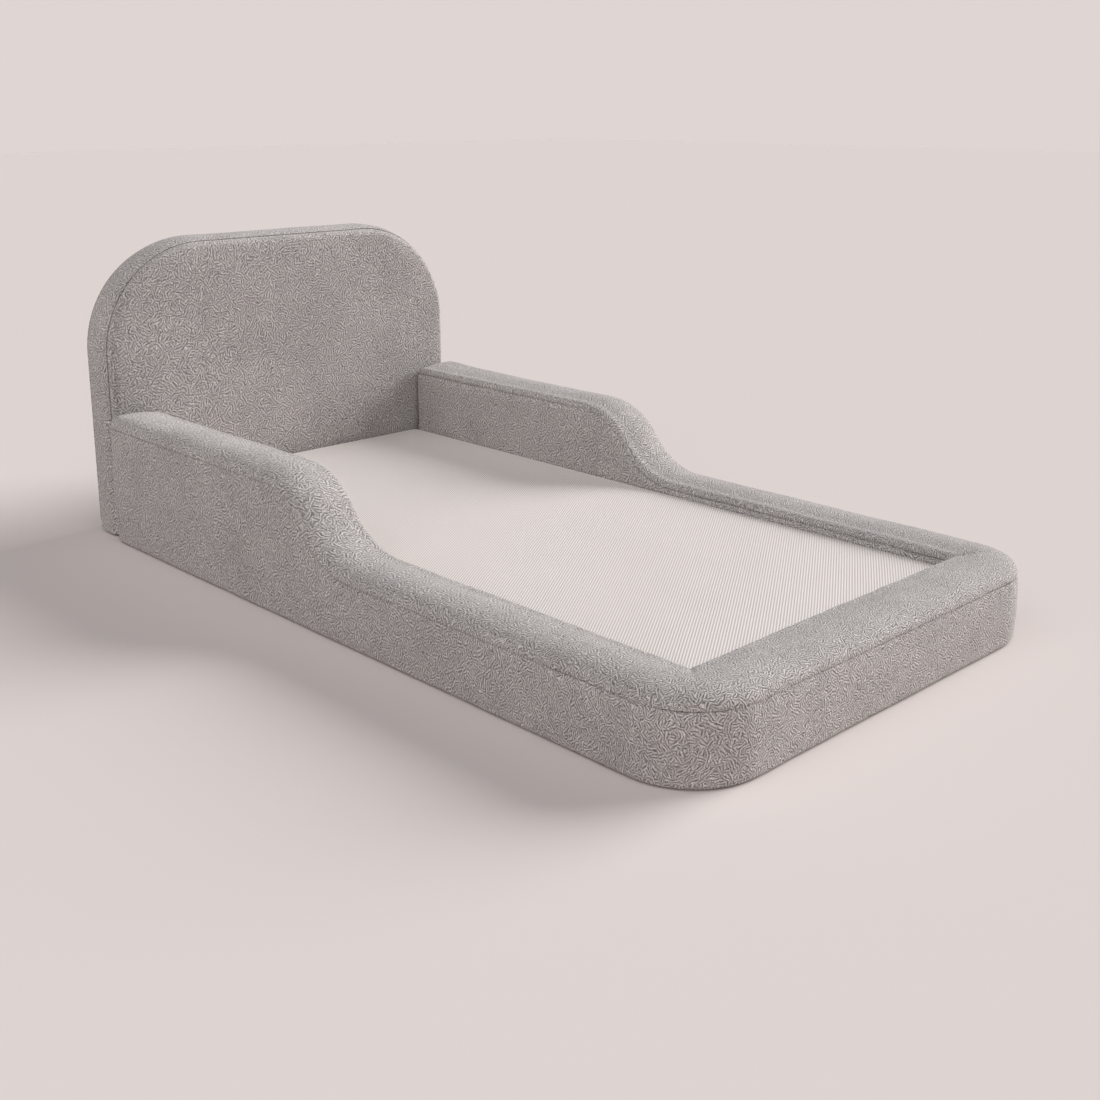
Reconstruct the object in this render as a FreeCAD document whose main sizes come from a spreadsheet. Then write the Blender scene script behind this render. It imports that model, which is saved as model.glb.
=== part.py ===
import FreeCAD, Part

import operator
import os

import Sketcher
from FreeCAD import Vector

# A low upholstered toddler bed that stands straight on the floor.
# Foam rails in sewn bouclé cloth run round both sides and the foot, tall at the head and low beyond
# an S-shaped step.  An arched headboard closes the head end, and a ribbed white mattress fills the well.
# Frame: millimetres, +Z up, +Y towards the headboard, origin on the floor under the middle of the bed.

SIZES = [
    ("bed_width", 1180, "outside of one rail to the outside of the other"),
    ("bed_length", 2180, "foot of the bed to the back of the headboard"),
    ("bed_height", 790, "floor to the top of the headboard"),
    ("rail_width", 150, "thickness of the side rails and of the foot rail"),
    ("head_depth", 150, "thickness of the headboard"),
    ("cloth", 3, "wall of every sewn cover, lining included"),
    ("foot_corner_radius", 160, "outer plan corner between side and foot"),
    ("rail_low", 180, "top of the low rails"),
    ("rail_high", 345, "top of the tall part of the side rails"),
    ("step_centre", 40, "how far the middle of the S step lies towards the head"),
    ("step_run", 370, "length of the S step along the rail"),
    ("rail_round", 34, "rounding of the upper rail edges"),
    ("head_inset", 15, "how far the headboard stands back from the outside of each rail"),
    ("head_corner_radius", 300, "rounding of the headboard's upper corners"),
    ("head_round", 20, "rounding of the headboard's front and back edges"),
    ("head_board", 12, "plywood stiffener inside the headboard"),
    ("head_front_foam", 60, "foam in front of the stiffener"),
    ("board_margin", 40, "foam left round the edge of the stiffener"),
    ("touch_strip", 2, "thickness of a hook strip or a loop strip"),
    ("touch_width", 50, "width of a touch fastener strip"),
    ("touch_length", 220, "length of a touch fastener strip"),
    ("touch_bottom", 40, "height of the lower end of a touch fastener strip"),
    ("base_foam", 22, "foam sheet under the mattress"),
    ("lining", 2, "quilted lining over the foam sheet"),
    ("rest_gap", 0.3, "air left between soft pieces that lie on each other"),
    ("side_gap", 5, "air between the mattress and the walls of the well"),
    ("mattress_corner", 18, "plan corner radius of the mattress"),
    ("mattress_foam", 92, "firm core of the mattress"),
    ("comfort_foam", 19, "soft layer on the firm core"),
    ("mattress_knit", 8, "quilted ribbed top panel of the mattress cover"),
    ("zip_window", 24, "height of the opening that a zip closes"),
    ("zip_recess", 3, "how deep each zip is sunk behind the inside of its cover"),
    ("zip_tape", 1, "thickness of the woven zip tape"),
    ("zip_chain", 6, "width of the closed zip coil"),
    ("zip_chain_depth", 2.5, "thickness of the closed zip coil"),
    ("zip_running_gap", 0.3, "play between a slider and its coil"),
    ("slider_wall", 1.2, "sheet metal of a zip slider"),
    ("slider_length", 15, "length of a zip slider"),
    ("frame_zip_height", 52, "height of the zips in the frame cover"),
    ("frame_zip_margin", 190, "inner band left at each end of a frame zip"),
    ("head_zip_height", 48, "height of the zip in the headboard cover"),
    ("head_zip_margin", 65, "back panel left at each end of the headboard zip"),
    ("mattress_zip_margin", 85, "border left at each end of the mattress zip"),
    ("zip_end_stop", 6, "room that each end stop takes from the slider's travel"),
]

NEAR = 0.01  # two places closer than this are one place

doc = FreeCAD.newDocument("ToddlerBed")
sheet = doc.addObject("Spreadsheet::Sheet", "Sizes")
for row, (alias, value, note) in enumerate(SIZES, 1):
    sheet.set(f"A{row}", alias)
    sheet.set(f"B{row}", str(value))
    sheet.setAlias(f"B{row}", alias)
    sheet.set(f"C{row}", note)
doc.recompute()


class Size:
    """A length that knows its number now and the expression that keeps it tied to the sheet."""

    def __init__(self, number, text):
        self.number = number
        self.text = text

    def join(self, other, sign, work):
        if not isinstance(other, Size):
            other = Size(other, str(other))
        return Size(work(self.number, other.number), f"({self.text} {sign} {other.text})")

    def __add__(self, other):
        return self.join(other, "+", operator.add)

    def __sub__(self, other):
        return self.join(other, "-", operator.sub)

    def __mul__(self, other):
        return self.join(other, "*", operator.mul)

    def __truediv__(self, other):
        return self.join(other, "/", operator.truediv)

    def __neg__(self):
        return Size(-self.number, f"(-1 * {self.text})")


def size(alias):
    return Size(float(sheet.get(alias)), f"Sizes.{alias}")


ZERO = Size(0.0, "0")
cloth = size("cloth")
half_width = size("bed_width") / 2
half_length = size("bed_length") / 2
half_well = half_width - size("rail_width")
half_head = half_width - size("head_inset")
head_back = half_length
well_foot = -half_length + size("rail_width")
well_head = half_length - size("head_depth")
rail_head = well_head - size("touch_strip") * 2
rail_low = size("rail_low")
rail_high = size("rail_high")
well_floor = cloth + size("base_foam") + size("lining")


# ---------------------------------------------------------------- building blocks

def new_body(name):
    return doc.addObject("PartDesign::Body", name)


def plane_of(body, role):
    return next(plane for plane in body.Origin.OriginFeatures if plane.Role == role)


def pin_point(sketch, geometry, point, x, y):
    """Ties one sketch point to two sizes."""
    for kind, value, axis in (("DistanceX", x, -2), ("DistanceY", y, -1)):
        if value.number == 0:
            sketch.addConstraint(Sketcher.Constraint("PointOnObject", geometry, point, axis))
            continue
        index = sketch.addConstraint(Sketcher.Constraint(kind, -1, 1, geometry, point, value.number))
        sketch.setExpression(f"Constraints[{index}]", value.text)


def arc_between(start, end, radius, turn):
    """The shorter arc from start to end; turn is +1 for anticlockwise and -1 for clockwise."""
    chord = end - start
    rise = (radius ** 2 - (chord.Length / 2) ** 2) ** 0.5
    side = Vector(-chord.y, chord.x, 0).normalize()
    centre = (start + end) * 0.5 + side * rise * turn
    from_angle = Vector(1, 0, 0).getAngle(start - centre) * (1 if start.y >= centre.y else -1)
    to_angle = Vector(1, 0, 0).getAngle(end - centre) * (1 if end.y >= centre.y else -1)
    if turn < 0:
        from_angle, to_angle = to_angle, from_angle
    circle = Part.Circle(centre, Vector(0, 0, 1), radius)
    return Part.ArcOfCircle(circle, from_angle, to_angle)


def outline(body, role, offset, corners):
    """A closed sketch.  Each corner is (x, y, bend); bend is None for a straight run to the next corner,
    or (radius, turn) for an arc."""
    sketch = body.newObject("Sketcher::SketchObject", body.Name + "Outline")
    sketch.AttachmentSupport = (plane_of(body, role), [""])
    sketch.MapMode = "FlatFace"
    sketch.setExpression("AttachmentOffset.Base.z", offset.text)
    ends = []
    for index, (x, y, bend) in enumerate(corners):
        next_x, next_y, _ = corners[(index + 1) % len(corners)]
        start = Vector(x.number, y.number, 0)
        end = Vector(next_x.number, next_y.number, 0)
        if bend is None:
            piece = sketch.addGeometry(Part.LineSegment(start, end), False)
            ends.append((piece, 1, 2))
            continue
        radius, turn = bend
        piece = sketch.addGeometry(arc_between(start, end, radius.number, turn), False)
        ends.append((piece, 1, 2) if turn > 0 else (piece, 2, 1))
        bound = sketch.addConstraint(Sketcher.Constraint("Radius", piece, radius.number))
        sketch.setExpression(f"Constraints[{bound}]", radius.text)
    for index, (piece, first, _) in enumerate(ends):
        before, _, last = ends[index - 1]
        sketch.addConstraint(Sketcher.Constraint("Coincident", before, last, piece, first))
        pin_point(sketch, piece, first, corners[index][0], corners[index][1])
    doc.recompute()
    return sketch


def pad(body, sketch, length, reverse=False):
    feature = body.newObject("PartDesign::Pad", body.Name + "Pad")
    feature.Profile = sketch
    feature.setExpression("Length", length.text)
    feature.Reversed = reverse
    doc.recompute()
    return feature


def round_edges(body, feature, wanted, radius):
    names = [f"Edge{i}" for i, edge in enumerate(feature.Shape.Edges, 1) if wanted(edge)]
    fillet = body.newObject("PartDesign::Fillet", body.Name + "Round")
    fillet.Base = (feature, names)
    fillet.setExpression("Radius", radius.text)
    feature.Visibility = False
    doc.recompute()
    return fillet


def box(name, low, high):
    """A Part::Box between two corners."""
    block = doc.addObject("Part::Box", name)
    for side, axis, a, b in zip(("Length", "Width", "Height"), "xyz", low, high):
        block.setExpression(side, (b - a).text)
        block.setExpression(f"Placement.Base.{axis}", a.text)
    return block


def boolean(kind, name, base, tool):
    result = doc.addObject(kind, name)
    result.Base = base
    result.Tool = tool
    return result


def cut(name, base, tool):
    return boolean("Part::Cut", name, base, tool)


def common(name, base, tool):
    return boolean("Part::Common", name, base, tool)


def group(name, members):
    fused = doc.addObject("Part::Compound", name)
    fused.Links = members
    return fused


nodes = {}


def node(label, feature):
    """Names a finished sub-part; the label names its file."""
    feature.Label = label
    nodes[label] = feature
    return feature


# ---------------------------------------------------------------- the S-shaped step of the side rails

def step_curve(inset, from_high_end=False):
    """The step seen from the side as outline corners in (Y, Z), from its low end unless told otherwise.
    Two tangent arcs of one radius; inset moves the whole curve down along its normal."""
    run = size("step_run")
    drop = rail_high - rail_low
    radius = (run * run + drop * drop) / (drop * 4)
    low_end = size("step_centre") - run / 2
    high_end = size("step_centre") + run / 2
    shrink = (radius - inset) / radius
    middle_y = high_end - run / 2 * shrink
    middle_z = rail_high - radius + (radius - drop / 2) * shrink
    if from_high_end:
        return [
            (high_end, rail_high - inset, (radius - inset, 1)),
            (middle_y, middle_z, (radius + inset, -1)),
            (low_end, rail_low - inset, None),
        ]
    return [
        (low_end, rail_low - inset, (radius + inset, 1)),
        (middle_y, middle_z, (radius - inset, -1)),
        (high_end, rail_high - inset, None),
    ]


def rail_top(y, inset):
    """Height of the rail's top at y, as a number."""
    (low_y, low_z, (low_radius, _)), (middle_y, _, (high_radius, _)), (high_y, high_z, _) = step_curve(inset)
    if y <= low_y.number:
        return low_z.number
    if y >= high_y.number:
        return high_z.number
    if y <= middle_y.number:
        radius = low_radius.number
        return low_z.number + radius - (radius ** 2 - (y - low_y.number) ** 2) ** 0.5
    radius = high_radius.number
    return high_z.number - radius + (radius ** 2 - (high_y.number - y) ** 2) ** 0.5


def frame_block(name, inset):
    """The whole U of rails, inset from the outer faces of the cover, with its upper edges rounded."""
    outer_x = half_width - inset
    inner_x = half_well + inset
    foot_y = -half_length + inset
    inner_y = well_foot - inset
    head_y = rail_head - inset
    bend = size("foot_corner_radius") - inset
    body = new_body(name)
    plan = outline(body, "XY_Plane", cloth, [
        (-outer_x, head_y, None),
        (-outer_x, foot_y + bend, (bend, 1)),
        (-outer_x + bend, foot_y, None),
        (outer_x - bend, foot_y, (bend, 1)),
        (outer_x, foot_y + bend, None),
        (outer_x, head_y, None),
        (inner_x, head_y, None),
        (inner_x, inner_y, None),
        (-inner_x, inner_y, None),
        (-inner_x, head_y, None),
    ])
    full = pad(body, plan, rail_high - inset - cloth)
    above = rail_high + cloth
    clear = foot_y - cloth
    side = outline(body, "YZ_Plane", -outer_x - cloth, [
        (clear, rail_low - inset, None),
        *step_curve(inset),
        (step_curve(inset)[2][0], above, None),
        (clear, above, None),
    ])
    lowered = body.newObject("PartDesign::Pocket", name + "Step")
    lowered.Profile = side
    lowered.Type = "Length"
    lowered.setExpression("Length", ((outer_x + cloth) * 2).text)
    lowered.Reversed = True
    doc.recompute()
    if lowered.Shape.Volume > full.Shape.Volume - NEAR:
        raise RuntimeError(name + ": the step removed nothing")

    def is_upper_edge(edge):
        middle = edge.valueAt((edge.FirstParameter + edge.LastParameter) / 2)
        along = edge.tangentAt((edge.FirstParameter + edge.LastParameter) / 2)
        inside_rail = inner_y.number + NEAR < middle.y < head_y.number - NEAR
        crosses_rail = inside_rail and abs(along.x) > 1 - NEAR
        return abs(middle.z - rail_top(middle.y, inset.number)) < NEAR and not crosses_rail

    round_edges(body, lowered, is_upper_edge, size("rail_round") - inset)
    return body


def band_region():
    """The space under the top panel, in which the cover is made of upright bands."""
    depth = size("rail_round")
    foot_y = -half_length - cloth
    head_y = rail_head + cloth
    body = new_body("BandRegion")
    side = outline(body, "YZ_Plane", -half_width - cloth, [
        (foot_y, -cloth, None),
        (head_y, -cloth, None),
        (head_y, rail_high - depth, None),
        *step_curve(depth, from_high_end=True),
        (foot_y, rail_low - depth, None),
    ])
    pad(body, side, (half_width + cloth) * 2)
    return body


# ---------------------------------------------------------------- zips

def span(origin, sign, near, far):
    """Two sizes measured from origin in the direction of sign, lowest first."""
    if sign > 0:
        return origin + near, origin + far
    return origin - far, origin - near


def zip_box(name, zipper, along, depth, rise):
    """A box given by its reach along the zip, outwards from the zip's bed, and up from its middle."""
    outwards = span(zipper["bed"], zipper["sign"], *depth)
    upright = (zipper["height"] + rise[0], zipper["height"] + rise[1])
    sides = (along, outwards) if zipper["runs"] == "x" else (outwards, along)
    low, high = zip(*sides, upright)
    return box(name, low, high)


def zip_opening(name, zipper):
    """What a zip takes out of the cloth and of the foam behind it."""
    reach = size("zip_window") / 2
    ends = (zipper["middle"] - zipper["length"] / 2, zipper["middle"] + zipper["length"] / 2)
    return zip_box(name, zipper, ends, (ZERO, size("zip_recess") + cloth), (-reach, reach))


def add_zip(zipper):
    """Tape, coil, two end stops and a slider without a pull, parked at the low end of its travel."""
    name = zipper["name"]
    low = zipper["middle"] - zipper["length"] / 2
    high = zipper["middle"] + zipper["length"] / 2
    stop = size("zip_end_stop")
    gap = size("zip_running_gap")
    wall = size("slider_wall")
    reach = size("zip_window") / 2
    chain = size("zip_chain") / 2
    tape_top = size("zip_tape")
    chain_top = tape_top + size("zip_chain_depth")
    node(name + "_zip_tape", zip_box(name + "Tape", zipper, (low, high), (ZERO, tape_top), (-reach, reach)))
    coil = (low + stop, high - stop)
    node(name + "_zip_coil", zip_box(name + "Coil", zipper, coil, (tape_top, chain_top), (-chain, chain)))
    stops = [
        zip_box(name + "LowStop", zipper, (low, low + stop), (tape_top, chain_top), (-chain, chain)),
        zip_box(name + "HighStop", zipper, (high - stop, high), (tape_top, chain_top), (-chain, chain)),
    ]
    node(name + "_zip_stops", group(name + "Stops", stops))
    start = low + stop + gap
    length = (start, start + size("slider_length"))
    outside = chain + gap + wall
    shell = zip_box(name + "SliderShell", zipper, length, (tape_top + gap, chain_top + gap + wall),
                    (-outside, outside))
    channel = zip_box(name + "SliderChannel", zipper, (start - gap, start + size("slider_length") + gap),
                      (ZERO, chain_top + gap), (-(chain + gap), chain + gap))
    node(name + "_zip_slider", cut(name + "Slider", shell, channel))


middle_of_well = (well_foot + well_head) / 2
mattress_bottom = well_floor + size("rest_gap")
half_mattress = half_well - size("side_gap")
mattress_foot = well_foot + size("side_gap")
mattress_head = well_head - size("side_gap")
core_bottom = mattress_bottom + cloth
core_top = core_bottom + size("mattress_foam")
comfort_top = core_top + size("comfort_foam")

frame_zips = [
    {
        "name": "frame_" + side_name,
        "runs": "y",
        "middle": middle_of_well,
        "length": well_head - well_foot - size("frame_zip_margin") * 2,
        "height": size("frame_zip_height"),
        "bed": (half_well + cloth + size("zip_recess")) * side,
        "sign": -side,
    }
    for side_name, side in (("left", -1), ("right", 1))
]
headboard_zip = {
    "name": "headboard",
    "runs": "x",
    "middle": ZERO,
    "length": (half_head - size("head_zip_margin")) * 2,
    "height": size("head_zip_height"),
    "bed": head_back - cloth - size("zip_recess"),
    "sign": 1,
}
mattress_zip = {
    "name": "mattress",
    "runs": "y",
    "middle": middle_of_well,
    "length": mattress_head - mattress_foot - size("mattress_zip_margin") * 2,
    "height": core_bottom + size("mattress_foam") / 2,
    "bed": -half_mattress + cloth + size("zip_recess"),
    "sign": -1,
}


# ---------------------------------------------------------------- frame: foam rails, cover and base

def build_base():
    """The sewn floor of the frame, its foam sheet and the lining that the mattress lies on."""
    bend = size("foot_corner_radius")
    body = new_body("BasePanel")
    plan = outline(body, "XY_Plane", ZERO, [
        (-half_width, rail_head, None),
        (-half_width, -half_length + bend, (bend, 1)),
        (-half_width + bend, -half_length, None),
        (half_width - bend, -half_length, (bend, 1)),
        (half_width, -half_length + bend, None),
        (half_width, rail_head, None),
    ])
    pad(body, plan, cloth)
    node("base_panel", body)
    foam_top = cloth + size("base_foam")
    foam_head = rail_head - cloth
    node("base_foam", box("BaseFoam", (-half_well, well_foot, cloth), (half_well, foam_head, foam_top)))
    node("well_lining", box("Lining", (-half_well, well_foot, foam_top), (half_well, foam_head, well_floor)))
    node("base_end_panel", box("BaseEnd", (-half_well, foam_head, cloth), (half_well, rail_head, well_floor)))


def build_rails():
    skin = frame_block("FrameSkin", ZERO)
    foam = frame_block("FrameFoam", cloth)
    cover = cut("FrameCover", skin, foam)
    openings = group("FrameZipOpenings", [zip_opening(z["name"] + "Opening", z) for z in frame_zips])

    end_face = rail_head - cloth
    foot_face = well_foot - cloth
    wide = half_width + cloth
    above = rail_high + cloth
    below = -half_length - cloth
    foot_half = box("FootHalf", (-wide, below, ZERO), (wide, foot_face, above))
    left_half = box("LeftHalf", (-wide, foot_face, ZERO), (ZERO, rail_head, above))
    right_half = box("RightHalf", (ZERO, foot_face, ZERO), (wide, rail_head, above))
    foam_bed = cut("FoamWithZipBeds", foam, openings)
    node("foot_core", common("FootCore", foam_bed, foot_half))
    node("rail_core_left", common("LeftCore", foam_bed, left_half))
    node("rail_core_right", common("RightCore", foam_bed, right_half))

    behind_end = (wide, rail_head + cloth, above)
    left_end = box("LeftEnd", (-wide, end_face, ZERO), (ZERO, behind_end[1], above))
    right_end = box("RightEnd", (ZERO, end_face, ZERO), behind_end)
    node("rail_end_panel_left", common("LeftEndPanel", cover, left_end))
    node("rail_end_panel_right", common("RightEndPanel", cover, right_end))

    before_end = box("BeforeEnd", (-wide, below, ZERO), (wide, end_face, above))
    body_cover = common("CoverBeforeEnds", cover, before_end)
    region = band_region()
    node("rail_top_panel", cut("RailTopPanel", body_cover, region))
    bands = common("UprightBands", body_cover, region)
    margin = cloth * 2
    well_side = box("WellSide", (-half_well - margin, well_foot - margin, ZERO),
                    (half_well + margin, rail_head, above))
    node("outer_band", cut("OuterBand", bands, well_side))
    node("inner_band", cut("InnerBand", common("WellBand", bands, well_side), openings))
    for zipper in frame_zips:
        add_zip(zipper)


def touch_strips(name, front, back):
    """One strip in front of the end of each rail."""
    middle = (half_well + half_width) / 2
    reach = size("touch_width") / 2
    low = size("touch_bottom")
    high = low + size("touch_length")
    left = box(name + "Left", (-middle - reach, front, low), (-middle + reach, back, high))
    right = box(name + "Right", (middle - reach, front, low), (middle + reach, back, high))
    return group(name, [left, right])


# ---------------------------------------------------------------- headboard

def arch(name, side_inset, front, back, edge_radius):
    """An arched slab between two distances from the foot, standing on the headboard's base panel."""
    half = half_head - side_inset
    top = size("bed_height") - side_inset
    bend = size("head_corner_radius") - side_inset
    body = new_body(name)
    front_view = outline(body, "XZ_Plane", -back, [
        (-half, cloth, None),
        (half, cloth, None),
        (half, top - bend, (bend, 1)),
        (half - bend, top, None),
        (-half + bend, top, (bend, 1)),
        (-half, top - bend, None),
    ])
    slab = pad(body, front_view, back - front)
    if edge_radius is None:
        return body

    def is_rim(edge):
        middle = edge.valueAt((edge.FirstParameter + edge.LastParameter) / 2)
        on_face = min(abs(middle.y - front.number), abs(middle.y - back.number)) < NEAR
        return on_face and middle.z > cloth.number + NEAR

    round_edges(body, slab, is_rim, edge_radius)
    return body


def build_headboard():
    skin = arch("HeadSkin", ZERO, well_head, head_back, size("head_round"))
    foam = arch("HeadFoam", cloth, well_head + cloth, head_back - cloth, size("head_round") - cloth)
    board_front = well_head + cloth + size("head_front_foam")
    board_back = board_front + size("head_board")
    board = arch("HeadBoard", cloth + size("board_margin"), board_front, board_back, None)
    node("headboard_board", board)

    wide = half_head + cloth
    above = size("bed_height") + cloth
    opening = zip_opening("HeadZipOpening", headboard_zip)
    front_half = box("HeadFront", (-wide, well_head, ZERO), (wide, board_front, above))
    back_half = box("HeadBack", (-wide, board_front, ZERO), (wide, head_back, above))
    node("headboard_front_foam", common("HeadFrontFoam", foam, front_half))
    pocketed = cut("HeadBackFoamPocket", common("HeadBackFoamBlank", foam, back_half), board)
    node("headboard_back_foam", cut("HeadBackFoam", pocketed, opening))

    cover = cut("HeadCover", skin, foam)
    front_seam = well_head + size("head_round")
    back_seam = head_back - size("head_round")
    front_zone = box("FrontZone", (-wide, well_head - cloth, ZERO), (wide, front_seam, above))
    side_zone = box("SideZone", (-wide, front_seam, ZERO), (wide, back_seam, above))
    back_zone = box("BackZone", (-wide, back_seam, ZERO), (wide, head_back + cloth, above))
    node("headboard_front_panel", common("HeadFrontPanel", cover, front_zone))
    node("headboard_gusset", common("HeadGusset", cover, side_zone))
    node("headboard_back_panel", cut("HeadBackPanel", common("BackBlank", cover, back_zone), opening))
    margin = size("head_round")
    node("headboard_base_panel",
         box("HeadBase", (-half_head, well_head + margin, ZERO), (half_head, head_back - margin, cloth)))
    add_zip(headboard_zip)


# ---------------------------------------------------------------- mattress

def mattress_slab(name, inset, bottom, thickness):
    half = half_mattress - inset
    foot_y = mattress_foot + inset
    head_y = mattress_head - inset
    bend = size("mattress_corner") - inset
    body = new_body(name)
    plan = outline(body, "XY_Plane", bottom, [
        (-half, head_y - bend, None),
        (-half, foot_y + bend, (bend, 1)),
        (-half + bend, foot_y, None),
        (half - bend, foot_y, (bend, 1)),
        (half, foot_y + bend, None),
        (half, head_y - bend, (bend, 1)),
        (half - bend, head_y, None),
        (-half + bend, head_y, (bend, 1)),
    ])
    pad(body, plan, thickness)
    return body


def build_mattress():
    opening = zip_opening("MattressZipOpening", mattress_zip)
    node("mattress_base_panel", mattress_slab("MattressBase", ZERO, mattress_bottom, cloth))
    core = mattress_slab("MattressCore", cloth, core_bottom, size("mattress_foam"))
    node("mattress_core", cut("MattressCoreWithZipBed", core, opening))
    comfort = mattress_slab("ComfortLayer", cloth, core_top, size("comfort_foam"))
    node("mattress_comfort_layer", comfort)
    node("mattress_top_panel", mattress_slab("MattressTop", ZERO, comfort_top, size("mattress_knit")))
    height = comfort_top - core_bottom
    outside = mattress_slab("BorderOutside", ZERO, core_bottom, height)
    inside = mattress_slab("BorderInside", cloth, core_bottom, height)
    ring = cut("BorderRing", outside, inside)
    node("mattress_border", cut("MattressBorder", ring, opening))
    add_zip(mattress_zip)


# ---------------------------------------------------------------- the whole bed

build_base()
build_rails()
node("hook_strips", touch_strips("HookStrips", rail_head, rail_head + size("touch_strip")))
node("loop_strips", touch_strips("LoopStrips", well_head - size("touch_strip"), well_head))
build_headboard()
build_mattress()
doc.recompute()

for item in doc.Objects:
    if "Invalid" in item.State or "Error" in item.State:
        raise RuntimeError(f"{item.Name} failed: {item.State}")
for label, feature in nodes.items():
    if feature.Shape.isNull() or not feature.Shape.isValid() or not feature.Shape.Solids:
        raise RuntimeError(f"{label} has no valid solid")

os.makedirs("parts", exist_ok=True)
for label, feature in nodes.items():
    feature.Shape.exportStep(f"parts/{label}.step")
    print(label, len(feature.Shape.Solids), round(feature.Shape.Volume))
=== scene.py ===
"""A toddler's floor bed: boucle-covered foam rails, a padded arched headboard and a white knit mattress."""

import itertools
import math

import bmesh
import bpy
import numpy as np
from mathutils import Matrix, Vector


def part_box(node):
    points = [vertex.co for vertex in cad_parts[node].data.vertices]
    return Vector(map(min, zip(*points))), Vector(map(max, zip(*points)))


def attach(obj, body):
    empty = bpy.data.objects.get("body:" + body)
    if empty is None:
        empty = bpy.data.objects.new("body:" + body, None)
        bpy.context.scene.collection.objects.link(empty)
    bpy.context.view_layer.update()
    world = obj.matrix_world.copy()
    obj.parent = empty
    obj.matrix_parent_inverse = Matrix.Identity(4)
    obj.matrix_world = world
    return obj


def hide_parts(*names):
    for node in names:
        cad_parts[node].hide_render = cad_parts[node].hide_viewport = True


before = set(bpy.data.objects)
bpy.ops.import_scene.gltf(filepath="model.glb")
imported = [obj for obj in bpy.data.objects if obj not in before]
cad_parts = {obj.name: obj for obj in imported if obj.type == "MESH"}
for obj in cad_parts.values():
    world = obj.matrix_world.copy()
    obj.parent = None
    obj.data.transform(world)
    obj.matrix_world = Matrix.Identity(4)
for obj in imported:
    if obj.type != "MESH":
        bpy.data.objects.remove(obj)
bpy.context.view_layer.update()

# ---------------------------------------------------------------- places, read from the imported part

rail_low_corner, rail_high_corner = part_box("rail_top_panel")
head_high_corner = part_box("headboard_gusset")[1]
mattress_low_corner, mattress_high_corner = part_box("mattress_top_panel")
lining_low_corner, lining_high_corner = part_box("well_lining")

HALF_WIDTH = rail_high_corner.x
FOOT = rail_low_corner.y
HEAD_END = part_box("rail_end_panel_left")[1].y
HALF_WELL = lining_high_corner.x
WELL_FOOT = lining_low_corner.y
RAIL_HIGH = rail_high_corner.z
SEAM_DROP = RAIL_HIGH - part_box("outer_band")[1].z
RAIL_LOW = rail_low_corner.z + SEAM_DROP
HALF_HEAD = head_high_corner.x
HEAD_TOP = head_high_corner.z
HEAD_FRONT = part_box("headboard_front_panel")[0].y
HEAD_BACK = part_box("headboard_back_panel")[1].y
HALF_MATTRESS = mattress_high_corner.x
MATTRESS_FOOT = mattress_low_corner.y
MATTRESS_HEAD = mattress_high_corner.y
MATTRESS_MIDDLE = (MATTRESS_FOOT + MATTRESS_HEAD) / 2
MATTRESS_TOP = mattress_high_corner.z
MATTRESS_SEAM = mattress_low_corner.z
MATTRESS_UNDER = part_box("mattress_base_panel")[0].z
BORDER_FOOT_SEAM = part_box("mattress_border")[0].z

# Forms that the boxes don't give, in metres. First the rails: their corners in plan, the S of their top, how
# they roll down to the outer seam and to the inner one, and the rolls round their ends and at the floor.
FOOT_CORNER = 0.160
WELL_CORNER = 0.008
STEP_MIDDLE = 0.042
STEP_RUN = 0.320
INNER_SEAM_DROP = 0.021
CROWN = 0.001
OUTER_ROLL = 0.080
INNER_ROLL = 0.080
ROLL_SHAPE = 2.5
INNER_ROLL_SHAPE = 1.7
END_ROLL = 0.022
BAND_END_ROLL = 0.012
BAND_FOOT_ROLL = 0.012
UNDERSIDE_INSET = BAND_FOOT_ROLL - 0.0015

# The headboard: its outline, the depths that its side band spans, and its front pad and back panel.
HEAD_CORNER = 0.300
HEAD_FOOT_ROLL = 0.010
BAND_FRONT = 0.966
BAND_BACK = 1.070
PAD_FACE = HEAD_FRONT + 0.0058
PAD_INSET = 0.012
PAD_ROLL = 0.020
BACK_INSET = 0.0105
BACK_ROLL = 0.020

# The mattress: its corners, and how far its top rolls over and spreads above the border.
MATTRESS_CORNER = 0.018
MATTRESS_ROLL = 0.010
MATTRESS_SPREAD = 0.0024

# Cloth: how thick each kind is, how far apart its rows lie, how far it clears the floor, how deep it sinks at
# a zip, and how far sheets and slabs stop short of their packed edges.
CLOTH = 0.0022
LINING_CLOTH = 0.0009
UNDERSIDE_CLOTH = 0.0008
TAPE_CLOTH = 0.0007
SPACING = 0.007
FLOOR_GAP = 0.0004
ZIP_SINK = 0.0066
HEM = 0.002

# How many rows of cloth go round a foot corner and each side of the arch, and columns over the headboard.
CORNER_STATIONS = 43
ARCH_TURNS = 62
HEAD_COLUMNS = 151

# How grainy the cloth's unevenness is and how far its puckers run from a seam, in metres.
BROAD_DENTS = 0.13
FINE_DENTS = 0.055
GROOVE_GRAIN = 0.08
PUCKER_GRAIN = 0.0145
PUCKER_PATCHES = 0.21
PUCKER_REACH = 0.021

# The noise picks from this many values, by a whole number made with one prime for each axis.
NOISE_VALUES = 4096
NOISE_PRIMES = (73856093, 19349663, 83492791)

# Points that lie inside a part or far off on its foam's side, so that cloth faces away from them.
MIDDLE_OF_BED = np.array([0.0, 0.0, 0.1])
MIDDLE_OF_HEADBOARD = np.array([0.0, 1.015, 0.36])
MIDDLE_OF_MATTRESS = np.array([0.0, 0.0, 0.09])
FAR_BELOW = np.array([0.0, 0.0, -2.0])
FAR_ABOVE = np.array([0.0, 0.0, 2.0])
FAR_FOOTWARD = np.array([0.0, -2.0, 0.1])

# Puts a plan's points on the bed's other side.
MIRROR = np.array([-1.0, 1.0])


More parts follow.
